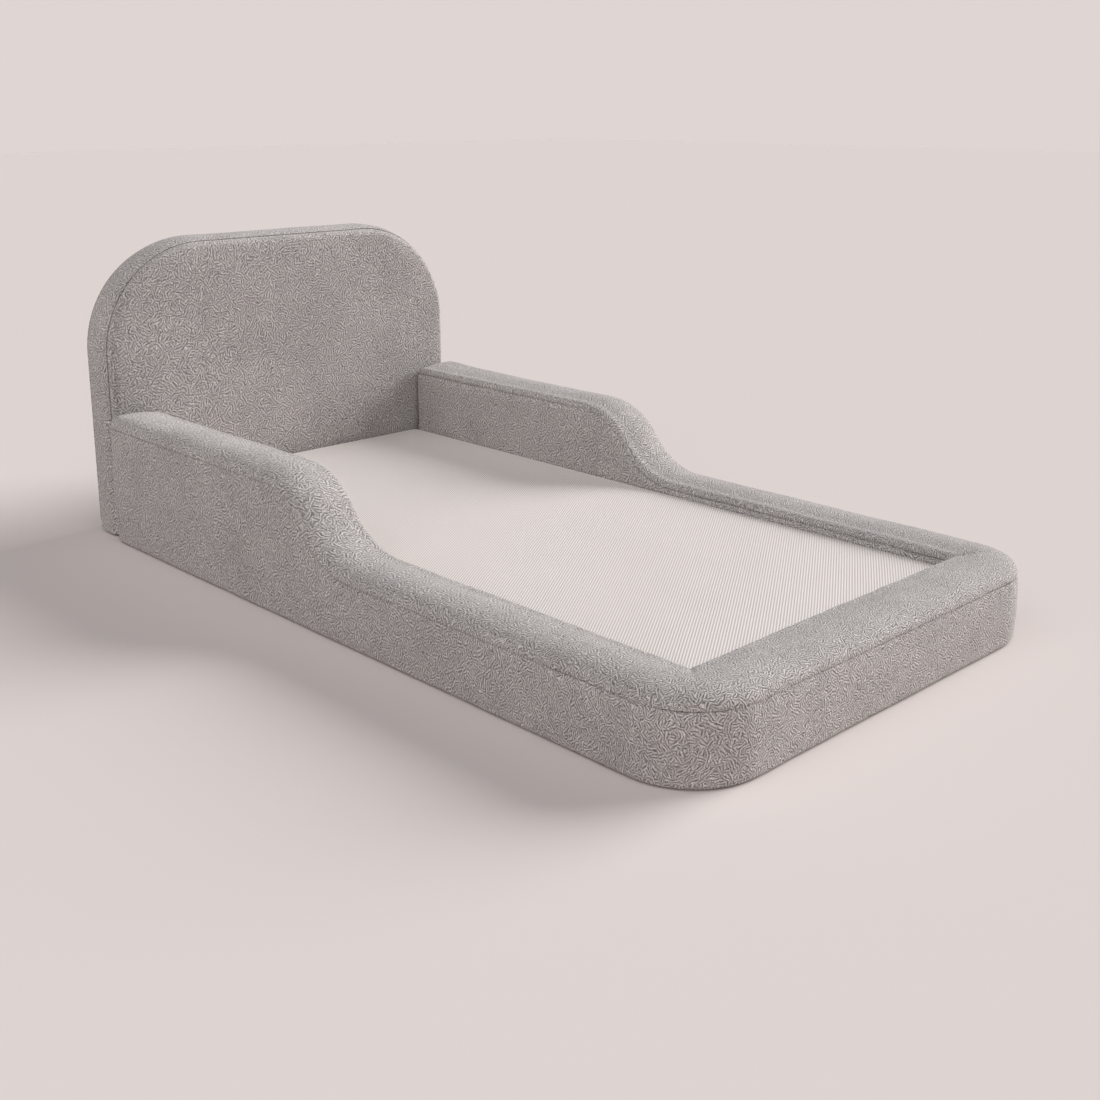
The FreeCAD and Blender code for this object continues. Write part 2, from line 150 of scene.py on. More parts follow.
# ---------------------------------------------------------------- cloth over foam: shared forms

def together(*parts):
    """One array of places or faces from their parts, each stretched to the same shape."""
    return np.stack(np.broadcast_arrays(*parts), axis=-1)


def quarter_turn(count):
    """Angles from nothing to a quarter turn."""
    return np.linspace(0, math.pi / 2, count)


def soft_noise(places, grain, seed):
    """Smooth noise between -1 and 1, whose swells are about one grain across."""
    values = np.random.default_rng(seed).uniform(-1, 1, NOISE_VALUES)
    scaled = places / grain
    cell = np.floor(scaled).astype(np.int64)
    part = scaled - cell
    part = part * part * (3 - 2 * part)
    total = np.zeros(places.shape[:-1])
    for corner in itertools.product((0, 1), repeat=3):
        at = cell + np.array(corner)
        x, y, z = (at[..., axis] * prime for axis, prime in enumerate(NOISE_PRIMES))
        weight = np.prod(np.where(np.array(corner) == 1, part, 1 - part), axis=-1)
        total += weight * values[(x ^ y ^ z) % NOISE_VALUES]
    return total


def along_rows(points):
    """How far each point is from the first column, along its row of cloth."""
    steps = np.linalg.norm(np.diff(points, axis=1), axis=-1)
    return np.concatenate([np.zeros((len(points), 1)), np.cumsum(steps, axis=1)], axis=1)


def facing(points, inside):
    """The direction square to the cloth at each point of a grid, away from a point inside it."""
    square = np.cross(np.gradient(points, axis=1), np.gradient(points, axis=0))
    square /= np.maximum(np.linalg.norm(square, axis=-1, keepdims=True), 1e-12)
    return square if (square * (points - inside)).sum() > 0 else -square


def dress(points, seams, groove=0.0032, reach=0.0050, pucker=0.0011, dents=0.0012, seed=1):
    """How far cloth stands out at each point: it dips at seams, puckers beside them and swells over foam."""
    out = dents * soft_noise(points, BROAD_DENTS, seed)
    out = out + dents * 0.5 * soft_noise(points, FINE_DENTS, seed + 1)
    across = along_rows(points)
    run = np.concatenate([[0.0], np.cumsum(np.linalg.norm(np.diff(points[:, 0], axis=0), axis=-1))])
    run = run[:, None]
    for seam in seams:
        away = across if seam == "first" else across[:, -1:] - across
        uneven = 1 + 0.35 * soft_noise(together(run, 0, 5), GROOVE_GRAIN, seed + 4)
        out -= groove * uneven * np.exp(-((away / reach) ** 2))
        pulls = soft_noise(together(run, away * 0.30, seed), PUCKER_GRAIN, seed + 7)
        patches = soft_noise(together(run, 0, 0), PUCKER_PATCHES, seed + 9)
        fade = np.exp(-away / PUCKER_REACH)
        out += pucker * (1.0 + 0.8 * patches) * pulls * fade * np.minimum(away / 0.004, 1.0)
    return out


def grid_faces(rows, columns):
    """The faces of a grid of places."""
    index = np.arange(rows * columns).reshape(rows, columns)
    return together(index[:-1, :-1], index[:-1, 1:], index[1:, 1:], index[1:, :-1]).reshape(-1, 4)


def ring_faces(ring_a, ring_b):
    """The faces between two closed rings of places."""
    return together(ring_a, np.roll(ring_a, -1), np.roll(ring_b, -1), ring_b)


def linked(name, data):
    """A new object in the scene."""
    piece = bpy.data.objects.new(name, data)
    bpy.context.scene.collection.objects.link(piece)
    return piece


def made(name, places, faces):
    """A smooth-shaded object whose mesh holds its place in the bed's own frame."""
    mesh = bpy.data.meshes.new(name)
    mesh.vertices.add(len(places))
    mesh.vertices.foreach_set("co", np.asarray(places, dtype=np.float32).ravel())
    mesh.loops.add(faces.size)
    mesh.loops.foreach_set("vertex_index", faces.astype(np.int32).ravel())
    mesh.polygons.add(len(faces))
    mesh.polygons.foreach_set("loop_start", np.arange(0, faces.size, faces.shape[1], dtype=np.int32))
    mesh.update(calc_edges=True)
    mesh.validate()
    mesh.shade_smooth()
    return linked(name, mesh)


def skin(name, places, faces, inside, thick=CLOTH):
    """Cloth with a thickness of its own: the given face outside, its back drawn in, and its edges closed.
    inside is a point that lies behind the cloth."""
    places = np.asarray(places, float)
    first, second, third, fourth = places[faces].transpose(1, 0, 2)
    cross = np.cross(third - first, fourth - second)
    square = np.zeros_like(places)
    for corner in range(4):
        np.add.at(square, faces[:, corner], cross)
    if (square * (places - inside)).sum() < 0:
        square = -square
        faces = faces[:, ::-1]
    square /= np.maximum(np.linalg.norm(square, axis=-1, keepdims=True), 1e-15)
    count = len(places)
    starts = faces.reshape(-1)
    ends = np.roll(faces, -1, axis=1).reshape(-1)
    open_edge = ~np.isin(starts * count + ends, ends * count + starts)
    a, b = starts[open_edge], ends[open_edge]
    edges = together(b, a, a + count, b + count)
    both = np.concatenate([places, places - square * thick])
    return made(name, both, np.concatenate([faces, faces[:, ::-1] + count, edges]))


def cloth_grid(name, points, inside, closed=False, thick=CLOTH):
    """A piece of cloth through a grid of points. closed joins the last row to the first."""
    rows, columns = points.shape[:2]
    faces = grid_faces(rows, columns)
    if closed:
        first = np.arange(columns)
        last = first + (rows - 1) * columns
        faces = np.concatenate([faces, together(last[:-1], last[1:], first[1:], first[:-1])])
    return skin(name, points.reshape(-1, 3), faces, inside, thick)


def roll_steps(width, shape, count):
    """Distances in from an edge at which to set rows of cloth, close together where the roll is steep."""
    return width * (1 - np.cos(quarter_turn(count)) ** (2 / shape))


def roll_drop(away, width, depth, shape):
    """How far the cloth lies under its crown at a distance in from its edge."""
    near = np.clip(1 - away / width, 0, 1)
    return depth * (1 - (1 - near ** shape) ** (1 / shape))


def hung_band(top, foot, near, steps):
    """Points from a band's seam down to its foot, and each one's share of the way. near says how far down the
    close rows by the seam lie, and the rest are even."""
    tall = np.linalg.norm(top - foot, axis=-1)[:, None]
    even = near[-1] / tall + (1 - near[-1] / tall) * np.linspace(0, 1, steps)[None, 1:]
    share = np.concatenate([near[None, :] / tall, even], axis=1)
    return top[:, None] + (foot - top)[:, None] * share[..., None], share


def rolled_rim(reach, face, depth, steps):
    """The (outwards, height) steps of a rim that rolls a quarter turn over from a panel's face."""
    return [(reach * math.sin(turn), face + depth * (1 - math.cos(turn))) for turn in quarter_turn(steps)[1:]]


def sideways(ways):
    """Ways in plan, put in the bed's frame for the rows of a grid."""
    return np.column_stack([ways, np.zeros(len(ways))])[:, None]


def upright(a, b, h):
    """A plan on the headboard's face, put in the bed's frame."""
    return np.column_stack([a, h, b])


def level(a, b, h):
    """A plan seen from above, put in the bed's frame."""
    return np.column_stack([a, b, h])


# ---------------------------------------------------------------- rails

def rail_height(y):
    """Height of the rails' top: low round the foot, then an S of two arcs up to the head end."""
    half_run = STEP_RUN / 2
    rise = RAIL_HIGH - RAIL_LOW
    radius = (STEP_RUN ** 2 + rise ** 2) / (4 * rise)
    from_foot = np.clip(y - (STEP_MIDDLE - half_run), 0, half_run)
    from_head = np.clip(STEP_MIDDLE + half_run - y, 0, half_run)
    foot_part = RAIL_LOW + radius - np.sqrt(radius ** 2 - from_foot ** 2)
    head_part = RAIL_HIGH - radius + np.sqrt(radius ** 2 - from_head ** 2)
    return np.where(y < STEP_MIDDLE, foot_part, head_part)


def under_rail_top(x, y, drop):
    """The point a drop under the rails' top, measured square to its slope."""
    slope = (rail_height(y + 5e-4) - rail_height(y - 5e-4)) / 1e-3
    length = np.sqrt(1 + slope ** 2)
    return together(x, y + slope / length * drop, rail_height(y) - drop / length)


def rail_stations():
    """Matching places along the rails' outer and inner edges, from the left head end round the foot to the
    right, each with the way that faces out and into the well."""
    turn = quarter_turn(11)[:-1]
    side_y = np.concatenate([
        HEAD_END - END_ROLL * (1 - np.cos(turn)),
        np.arange(HEAD_END - END_ROLL, FOOT + FOOT_CORNER + SPACING / 2, -SPACING),
    ])
    corner_start = len(side_y)
    outer = [(-HALF_WIDTH, y) for y in side_y]
    inner = [(-HALF_WELL, y) for y in side_y]
    out_way = [(-1.0, 0.0)] * corner_start
    in_way = [(1.0, 0.0)] * corner_start
    corner_y = FOOT + FOOT_CORNER
    corner_x = -HALF_WIDTH + FOOT_CORNER
    straight = corner_y - WELL_FOOT - WELL_CORNER
    # The inner edge runs straight for a small first and last share of the corner, and bends between.
    lead = 0.04
    for part in np.linspace(0, 1, CORNER_STATIONS):
        angle = math.pi * (1 + part / 2)
        outer.append((corner_x + FOOT_CORNER * math.cos(angle), corner_y + FOOT_CORNER * math.sin(angle)))
        out_way.append((math.cos(angle), math.sin(angle)))
        bend = min(max((part - lead) / (1 - 2 * lead), 0), 1) * math.pi / 2
        along_side = min(part / lead, 1) * straight
        along_foot = max((part - 1 + lead) / lead, 0) * (HALF_WELL - WELL_CORNER + corner_x)
        x = -HALF_WELL + WELL_CORNER - WELL_CORNER * math.cos(bend) + along_foot
        y = WELL_FOOT + WELL_CORNER - WELL_CORNER * math.sin(bend) + straight - along_side
        inner.append((x, y))
        in_way.append((math.cos(bend), math.sin(bend)))
    foot_x = np.linspace(corner_x, 0, 62)[1:]
    outer += [(x, FOOT) for x in foot_x]
    inner += [(x, WELL_FOOT) for x in foot_x]
    out_way += [(0.0, -1.0)] * len(foot_x)
    in_way += [(0.0, 1.0)] * len(foot_x)
    half = [np.array(edge) for edge in (outer, inner, out_way, in_way)]
    return [np.concatenate([edge, edge[-2::-1] * MIRROR]) for edge in half] + [corner_start]


outer_edge, inner_edge, outward, wellward, corner_start = rail_stations()
LAST_STATION = len(outer_edge) - 1

# The cover pulls hardest round the foot corners, and its outer seam lies deepest beside them.
PULL_PLACE, PULL_REACH = (0.55, 0.07), 0.20
DEEP_PLACE, DEEP_REACH = 0.20, 0.19
off_middle, off_foot = np.abs(outer_edge[:, 0]), outer_edge[:, 1] - FOOT
off_corner = np.hypot(off_middle - PULL_PLACE[0], off_foot - PULL_PLACE[1])
corner_pull = np.exp(-((off_corner / PULL_REACH) ** 2))[:, None]
beside_corner = np.exp(-(((off_foot - DEEP_PLACE) / DEEP_REACH) ** 2))
beside_corner *= np.clip((off_middle - 0.42) / 0.14, 0, 1)
outer_groove = (0.0010 + 0.0036 * beside_corner)[:, None]
OUTER_GROOVE_REACH = 0.0100

# How much tighter the top's outer roll gets towards the head end, and where that starts.
HEAD_TIGHTENING = 0.052
TIGHTENING_START = 0.45


def from_outer_edge(x, y):
    """Distance in from the rails' outer outline."""
    beyond = np.abs(x) - (HALF_WIDTH - FOOT_CORNER)
    below = FOOT + FOOT_CORNER - y
    in_corner = FOOT_CORNER - np.hypot(np.maximum(beyond, 0), np.maximum(below, 0))
    return np.where((beyond > 0) | (below > 0), np.where(below > 0, in_corner, HALF_WIDTH - np.abs(x)), 1.0)


def from_well(x, y):
    """Distance out from the edge of the well."""
    return np.hypot(np.maximum(np.abs(x) - HALF_WELL, 0), np.maximum(WELL_FOOT - y, 0))


def end_roll(y, amount):
    """How far the cover draws in where it turns over the rails' head ends."""
    left = np.clip(HEAD_END - y, 0, END_ROLL)
    return amount * (1 - np.sqrt(1 - (1 - left / END_ROLL) ** 2))


def corner_crease(x, y):
    """The soft fold that runs out from each foot corner of the well, where the cover turns."""
    out_x = np.abs(x) - HALF_WELL
    out_y = WELL_FOOT - y
    along = (out_x + out_y) / math.sqrt(2)
    aside = (out_x - out_y) / math.sqrt(2)
    fade = np.clip(along / 0.012, 0, 1) * np.exp(-((np.maximum(along, 0) / 0.060) ** 2))
    fold = 0.0042 * fade * np.exp(-((aside / 0.0075) ** 2))
    return fold - 0.0012 * fade * np.exp(-((aside / 0.020) ** 2))


def rail_top_points():
    """The top panel of the cover: it rolls down to the outer seam and to the inner one."""
    outer_steps = roll_steps(OUTER_ROLL, ROLL_SHAPE, 22)
    inner_steps = roll_steps(INNER_ROLL, INNER_ROLL_SHAPE, 17)
    whole = OUTER_ROLL + INNER_ROLL
    share = np.concatenate([outer_steps / whole, 1 - inner_steps[-2::-1] / whole])
    share = np.interp(np.linspace(0, 1, 46), np.linspace(0, 1, len(share)), share)
    plan = outer_edge[:, None] + (inner_edge - outer_edge)[:, None] * share[None, :, None]
    x, y = plan[..., 0], plan[..., 1]
    tighter = np.clip((y - TIGHTENING_START) / (HEAD_END - TIGHTENING_START), 0, 1) ** 1.4
    outer_roll = OUTER_ROLL - HEAD_TIGHTENING * tighter
    drop = roll_drop(from_outer_edge(x, y), outer_roll, SEAM_DROP + CROWN, ROLL_SHAPE)
    drop += roll_drop(from_well(x, y), INNER_ROLL, INNER_SEAM_DROP + CROWN, INNER_ROLL_SHAPE)
    drop[:, 0] = SEAM_DROP + CROWN
    drop[:, -1] = INNER_SEAM_DROP + CROWN
    points = under_rail_top(x, y, drop - CROWN)
    square = facing(points, FAR_BELOW)
    middle_share = np.sin(math.pi * share) ** 0.5
    ends = end_roll(y, BAND_END_ROLL + (END_ROLL - BAND_END_ROLL) * middle_share)
    pucker = 0.0010 + 0.0012 * corner_pull
    out = dress(points, ("first",), outer_groove, OUTER_GROOVE_REACH, pucker, seed=3)
    out = out - ends - corner_crease(x, y)
    out += dress(points, ("last",), groove=0.0060, reach=0.0060, dents=0.0, seed=5)
    across = along_rows(points)
    lip = (across[:, -1:] - across - 0.018) / 0.012
    out += 0.0042 * np.exp(-(lip ** 2))
    return points + square * out[..., None]


def outer_band_points():
    """The upright outer band, from the seam under the top's roll to where it tucks under at the floor."""
    near = np.array([0, 0.8, 1.6, 2.6, 3.8, 5.4, 7.4, 10, 13.5, 18, 23.5]) / 1000
    top = under_rail_top(outer_edge[:, 0], outer_edge[:, 1], SEAM_DROP)
    foot = np.column_stack([outer_edge, np.full(len(outer_edge), BAND_FOOT_ROLL)])
    points, share = hung_band(top, foot, near, 25)
    way = sideways(outward)
    swell = 0.0030 * np.sin(math.pi * share) ** 0.8
    pucker = 0.0010 + 0.0014 * corner_pull
    out = swell + dress(points, ("first",), outer_groove, OUTER_GROOVE_REACH, pucker, seed=11)
    out -= end_roll(points[..., 1], BAND_END_ROLL)
    points = points + way * out[..., None]
    tuck = quarter_turn(7)[1:]
    under = points[:, -1:] - way * (BAND_FOOT_ROLL * (1 - np.cos(tuck)))[None, :, None]
    under[..., 2] = BAND_FOOT_ROLL * (1 - np.sin(tuck)) + FLOOR_GAP
    return np.concatenate([points, under], axis=1)


def in_window(along, length, height, low, high, margin=0.0):
    """1 inside a zip's window and 0 outside, with a quick slope at the ends."""
    ends = np.clip((length - np.abs(along)) / 0.006 + 1, 0, 1)
    return ends * (np.abs(height - (low + high) / 2) < (high - low) / 2 - margin)


def inner_band_points():
    """The band that lines the well's sides, with a sunk window for the zip along each side."""
    near = np.array([0, 0.8, 1.6, 2.6, 3.8, 5.4, 7.4, 10, 13]) / 1000
    by_zip = np.array([70, 66.5, 64.9, 64.3, 63.9, 58, 52, 46, 40.1, 39.7, 39.1, 36, 32, 29, 27.4, 26.6])
    by_zip = by_zip / 1000
    top = under_rail_top(inner_edge[:, 0], inner_edge[:, 1], INNER_SEAM_DROP)
    foot = np.column_stack([inner_edge, np.full(len(inner_edge), by_zip[0])])
    points = hung_band(top, foot, near, 19)[0]
    lower = np.repeat(points[:, -1:], len(by_zip) - 1, axis=1)
    lower[..., 2] = by_zip[None, 1:]
    points = np.concatenate([points, lower], axis=1)
    way = sideways(wellward)
    out = dress(points, ("first",), groove=0.0070, reach=0.0085, dents=0.0006, seed=21)
    out = out - end_roll(points[..., 1], BAND_END_ROLL)
    out += 0.0012 * np.sin(math.pi * np.clip((points[..., 2] - by_zip[0]) / 0.10, 0, 1))
    on_side = np.abs(way[..., 0]) > 0.99
    tape_low, tape_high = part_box("frame_left_zip_tape")
    low, high = tape_low.z, tape_high.z
    sunk = in_window(points[..., 1], tape_high.y, points[..., 2], low, high) * on_side
    calm = np.clip(1 - np.abs(points[..., 2] - (low + high) / 2) / 0.03, 0, 1) * on_side
    out = out * (1 - calm) - ZIP_SINK * sunk
    return points + way * out[..., None]


rail_top = rail_top_points()
outer_band = outer_band_points()
inner_band = inner_band_points()


def end_panel(name, row):
    """The flat panel that closes one rail at the head end, cut to the cover's own outline there."""
    crown = rail_top[row, :, 2].argmax()
    outer_side = np.concatenate([outer_band[row, ::-1], rail_top[row, 1:crown + 1]])
    inner_side = np.concatenate([inner_band[row, ::-1], rail_top[row, -2:crown - 1:-1]])
    top = rail_top[row, crown, 2]
    crest = 0.05
    crest_levels = top - crest * np.cos(np.linspace(0, 1.5, 16)[1:])
    levels = np.concatenate([np.linspace(0.001, top - crest, 24), crest_levels])
    edges = []
    for side in (outer_side, inner_side):
        rising = np.maximum.accumulate(side[:, 2] + np.arange(len(side)) * 1e-9)
        edges.append(np.interp(levels, rising, side[:, 0]))
    share = np.linspace(0, 1, 18)
    x = edges[0][:, None] + (edges[1] - edges[0])[:, None] * share
    rounding = 0.0012 * np.sin(math.pi * share)[None, :] * np.sin(math.pi * levels / top)[:, None]
    return cloth_grid(name, together(x, HEAD_END - 0.0014 + rounding, levels[:, None]), FAR_FOOTWARD)


# ---------------------------------------------------------------- flat-faced panels with a rolled rim

def panel_grid(levels, half_widths, columns):
    """A grid over an outline that is the same on both sides: one row for each level."""
    return together(half_widths[:, None] * np.linspace(-1, 1, columns)[None, :], levels[:, None])


def rim_of(rows, columns):
    """The indices round the edge of a grid, once round."""
    index = np.arange(rows * columns).reshape(rows, columns)
    return np.concatenate([index[:-1, 0], index[-1, :-1], index[:0:-1, -1], index[0, :0:-1]])


def rimmed_piece(name, grid, heights, rim_offsets, place, inside):
    """A panel with its rim. rim_offsets are (outwards, height) steps past the grid's edge; place puts a plan
    point and its height in the bed's frame."""
    rows, columns = grid.shape[:2]
    flat = grid.reshape(-1, 2)
    edge = rim_of(rows, columns)
    loop = flat[edge]
    ahead = np.roll(loop, -1, axis=0) - np.roll(loop, 1, axis=0)
    ahead /= np.linalg.norm(ahead, axis=-1, keepdims=True)
    way = np.column_stack([ahead[:, 1], -ahead[:, 0]])
    if (way * (loop - flat.mean(axis=0))).sum() < 0:
        way = -way
    places = [place(flat[:, 0], flat[:, 1], heights.reshape(-1))]
    faces = [grid_faces(rows, columns)]
    ring = edge
    start = len(flat)
    for outwards, height in rim_offsets:
        at = loop + way * outwards
        places.append(place(at[:, 0], at[:, 1], np.full(len(at), height)))
        next_ring = np.arange(start, start + len(at))
        faces.append(ring_faces(ring, next_ring))
        ring = next_ring
        start += len(at)
    return skin(name, np.concatenate(places), np.concatenate(faces), inside)


def arch_half_width(z, inset):
    """Half the headboard's width at a height, on an outline drawn in by inset."""
    radius = HEAD_CORNER - inset
    rise = np.clip(z - (HEAD_TOP - HEAD_CORNER), 0, radius)
    return HALF_HEAD - HEAD_CORNER + np.sqrt(np.maximum(radius ** 2 - rise ** 2, 0))


def arch_levels(inset, low, extra=()):
    """Heights for the rows of a headboard panel, closer together round the arch and at any extra heights."""
    radius = HEAD_CORNER - inset
    straight = np.arange(low, HEAD_TOP - HEAD_CORNER, SPACING)
    levels = np.concatenate([straight, HEAD_TOP - HEAD_CORNER + radius * np.sin(quarter_turn(ARCH_TURNS))])
    if len(extra):
        levels = levels[(levels < min(extra) - 0.002) | (levels > max(extra) + 0.002)]
    return np.unique(np.concatenate([levels, np.array(extra, float)]).round(6))


def arch_panel(inset, low, extra=()):
    """A headboard panel's grid, how far in from its outline each point is, and its points on the flat."""
    levels = arch_levels(inset, low, extra)
    grid = panel_grid(levels, arch_half_width(levels, inset), HEAD_COLUMNS)
    x, z = grid[..., 0], grid[..., 1]
    inward = np.minimum(arch_half_width(z, inset) - np.abs(x), HEAD_TOP - inset - z)
    return grid, inward, together(x, 0, z)


def arch_path():
    """Points from the floor up the left side, over the arch and down the right, each with its way out."""
    bend_at = HEAD_TOP - HEAD_CORNER
    bend_x = HALF_HEAD - HEAD_CORNER
    places, ways = [], []
    for turn in np.linspace(math.pi / 2, 0, 8)[:-1]:
        x = -HALF_HEAD + HEAD_FOOT_ROLL * (1 - math.cos(turn))
        places.append((x, HEAD_FOOT_ROLL * (1 - math.sin(turn)) + FLOOR_GAP))
        ways.append((-math.cos(turn), -math.sin(turn)))
    for z in np.arange(HEAD_FOOT_ROLL, bend_at, SPACING):
        places.append((-HALF_HEAD, z))
        ways.append((-1.0, 0.0))
    for turn in quarter_turn(ARCH_TURNS):
        places.append((-bend_x - HEAD_CORNER * math.cos(turn), bend_at + HEAD_CORNER * math.sin(turn)))
        ways.append((-math.cos(turn), math.sin(turn)))
    for x in np.linspace(-bend_x, 0, 39)[1:]:
        places.append((x, HEAD_TOP))
        ways.append((0.0, 1.0))
    return [np.concatenate([half, half[-2::-1] * MIRROR]) for half in (np.array(places), np.array(ways))]


def pad_side(y):
    """How far inside the headboard's outline the rolled edge of the front pad lies at a depth y."""
    turn = np.clip(1 - (y - PAD_FACE) / PAD_ROLL, 0, 1)
    return PAD_INSET + PAD_ROLL * (1 - math.sqrt(1 - turn ** 2))


def side_band_points():
    """The headboard's side band: round at its front edge, where it turns in to the seam by the front pad."""
    path, ways = arch_path()
    part = np.concatenate([[-1, -0.985, -0.965, -0.94, -0.90, -0.85], np.linspace(-0.78, 0.78, 14),
                           [0.85, 0.90, 0.94, 0.965, 0.985, 1]])
    middle, half = (BAND_FRONT + BAND_BACK) / 2, (BAND_BACK - BAND_FRONT) / 2
    front_round, back_round, tucked_gap = 0.0095, 0.0125, 0.0007
    profile = [((front_round if p > 0 else back_round) * abs(p) ** 3, middle - half * p) for p in part]
    profile += [(0.0105, BAND_FRONT - 0.0002)]
    tucked = BAND_FRONT + np.array([0.0008, 0.003, 0.006, 0.009, 0.012])
    profile += [(pad_side(y) - tucked_gap, y) for y in tucked]
    inset, depth = np.array(profile).T
    plan = path[:, None] - ways[:, None] * inset[None, :, None]
    points = together(plan[..., 0], depth, plan[..., 1])
    square = facing(points, MIDDLE_OF_HEADBOARD)
    calm = np.clip((depth - BAND_FRONT) / 0.012, 0, 1) * np.clip(points[..., 2] / 0.03, 0, 1)
    return points + square * (dress(points, ("first",), seed=31) * calm)[..., None]


def headboard_front():
    """The front pad of the headboard: a softly pillowed arch, rolled back at its edge to the band's seam."""
    grid, inward, places = arch_panel(PAD_INSET + PAD_ROLL, PAD_ROLL + 0.008)
    pillow = 0.0040 * (1 - np.exp(-np.maximum(inward, 0) / 0.05))
    waves = 0.0013 * soft_noise(places, 0.15, 41) + 0.0006 * soft_noise(places, 0.06, 42)
    waves *= np.clip(inward / 0.03, 0, 1)
    rim = rolled_rim(PAD_ROLL, PAD_FACE, PAD_ROLL, 12)
    tail = ((0.0002, 0.014), (0.0004, 0.018), (0.0006, 0.022), (0.0010, 0.028))
    rim += [(PAD_ROLL + out, BAND_FRONT + back) for out, back in tail]
    depths = PAD_FACE - pillow - waves
    return rimmed_piece("headboard_front_pad", grid, depths, rim, upright, MIDDLE_OF_HEADBOARD)


def headboard_rear():
    """The back panel of the headboard, with a rolled rim and the sunk window of its zip."""
    tape_low, tape_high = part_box("headboard_zip_tape")
    low, high = tape_low.z, tape_high.z
    middle = (low + high) / 2
    rows = [low - 0.004, low - 0.0008, low, low + 0.0006, low + 0.012,
            high - 0.0006, high, high + 0.0008, high + 0.004]
    grid, inward, places = arch_panel(BACK_INSET + BACK_ROLL, BACK_ROLL + 0.0045, rows)
    x, z = grid[..., 0], grid[..., 1]
    waves = 0.0010 * soft_noise(places, 0.15, 51) * np.clip(inward / 0.03, 0, 1)
    sunk = in_window(x, tape_high.x, z, low, high, 0.0002)
    calm = np.clip((np.abs(z - middle) - 0.014) / 0.02, 0, 1)
    face = HEAD_BACK - 0.0012
    rim = rolled_rim(BACK_ROLL, face, -0.0165, 11)
    tail = ((0.0015, 0.0012), (0.0035, 0.0), (0.0060, -0.0015))
    rim += [(BACK_ROLL - drawn, BAND_BACK + back) for drawn, back in tail]
    depths = face + waves * calm - 0.0060 * sunk
    return rimmed_piece("headboard_rear_panel", grid, depths, rim, upright, MIDDLE_OF_HEADBOARD)


def arch_loop(inset, low):
    """Points once round the headboard's outline, drawn in by inset and cut off at low."""
    levels = arch_levels(inset, low)
    columns = 61
    loop = panel_grid(levels, arch_half_width(levels, inset), columns)
    return loop.reshape(-1, 2)[rim_of(len(levels), columns)]


# ---------------------------------------------------------------- mattress

def mattress_half_width(y, inset):
    """Half the mattress's width at a place along it, on an outline drawn in by inset."""
    radius = MATTRESS_CORNER - inset
    beyond = np.abs(y - MATTRESS_MIDDLE) - (MATTRESS_HEAD - MATTRESS_MIDDLE - MATTRESS_CORNER)
    beyond = np.clip(beyond, 0, radius)
    return HALF_MATTRESS - MATTRESS_CORNER + np.sqrt(np.maximum(radius ** 2 - beyond ** 2, 0))


def mattress_levels(inset):
    """Places along the mattress for the rows of its top, closer together round its corners."""
    turn = (MATTRESS_CORNER - inset) * np.sin(quarter_turn(8))
    first, last = MATTRESS_FOOT + MATTRESS_CORNER, MATTRESS_HEAD - MATTRESS_CORNER
    return np.concatenate([first - turn[:0:-1], np.linspace(first, last, 230), last + turn[1:]])


def mattress_top():
    """The knit top panel, nearly flat, which rolls over to the seam above the border."""
    levels = mattress_levels(MATTRESS_ROLL)
    grid = panel_grid(levels, mattress_half_width(levels, MATTRESS_ROLL), 110)
    x, y = grid[..., 0], grid[..., 1]
    inward = np.minimum(mattress_half_width(y, MATTRESS_ROLL) - np.abs(x),
                        MATTRESS_HEAD - MATTRESS_ROLL - np.abs(y - MATTRESS_MIDDLE))
    places = together(x, y, 0)
    waves = 0.0010 * soft_noise(places, 0.22, 61) + 0.0005 * soft_noise(places, 0.09, 62)
    crown = 0.0030
    start = MATTRESS_TOP - crown
    heights = start + crown * (1 - np.exp(-np.maximum(inward, 0) / 0.06))
    heights = heights + waves * np.clip(inward / 0.04, 0, 1)
    reach = MATTRESS_ROLL + MATTRESS_SPREAD
    rim = rolled_rim(reach, start, -0.0045, 9)
    rim += [(reach - 0.0010, MATTRESS_SEAM + 0.0004), (reach - 0.0026, MATTRESS_SEAM)]
    return rimmed_piece("mattress_knit_top", grid, heights, rim, level, MIDDLE_OF_MATTRESS)


def mattress_outline():
    """Points once round the mattress, each with the way that faces out."""
    points, ways = [], []
    half_length = MATTRESS_HEAD - MATTRESS_MIDDLE
    radius = MATTRESS_CORNER
    corners = [(-1, -1, math.pi, (1, 0)), (1, -1, 1.5 * math.pi, (0, 1)),
               (1, 1, 0.0, (-1, 0)), (-1, 1, 0.5 * math.pi, (0, -1))]
    for side_x, side_y, start, go in corners:
        centre = (side_x * (HALF_MATTRESS - radius), MATTRESS_MIDDLE + side_y * (half_length - radius))
        length = 2 * ((HALF_MATTRESS if go[0] else half_length) - radius)
        for turn in quarter_turn(8):
            way = (math.cos(start + turn), math.sin(start + turn))
            points.append((centre[0] + radius * way[0], centre[1] + radius * way[1]))
            ways.append(way)
        last = points[-1]
        count = int(length / 0.008)
        for step in range(1, count):
            points.append((last[0] + go[0] * length * step / count, last[1] + go[1] * length * step / count))
            ways.append(ways[-1])
    return np.array(points), np.array(ways)


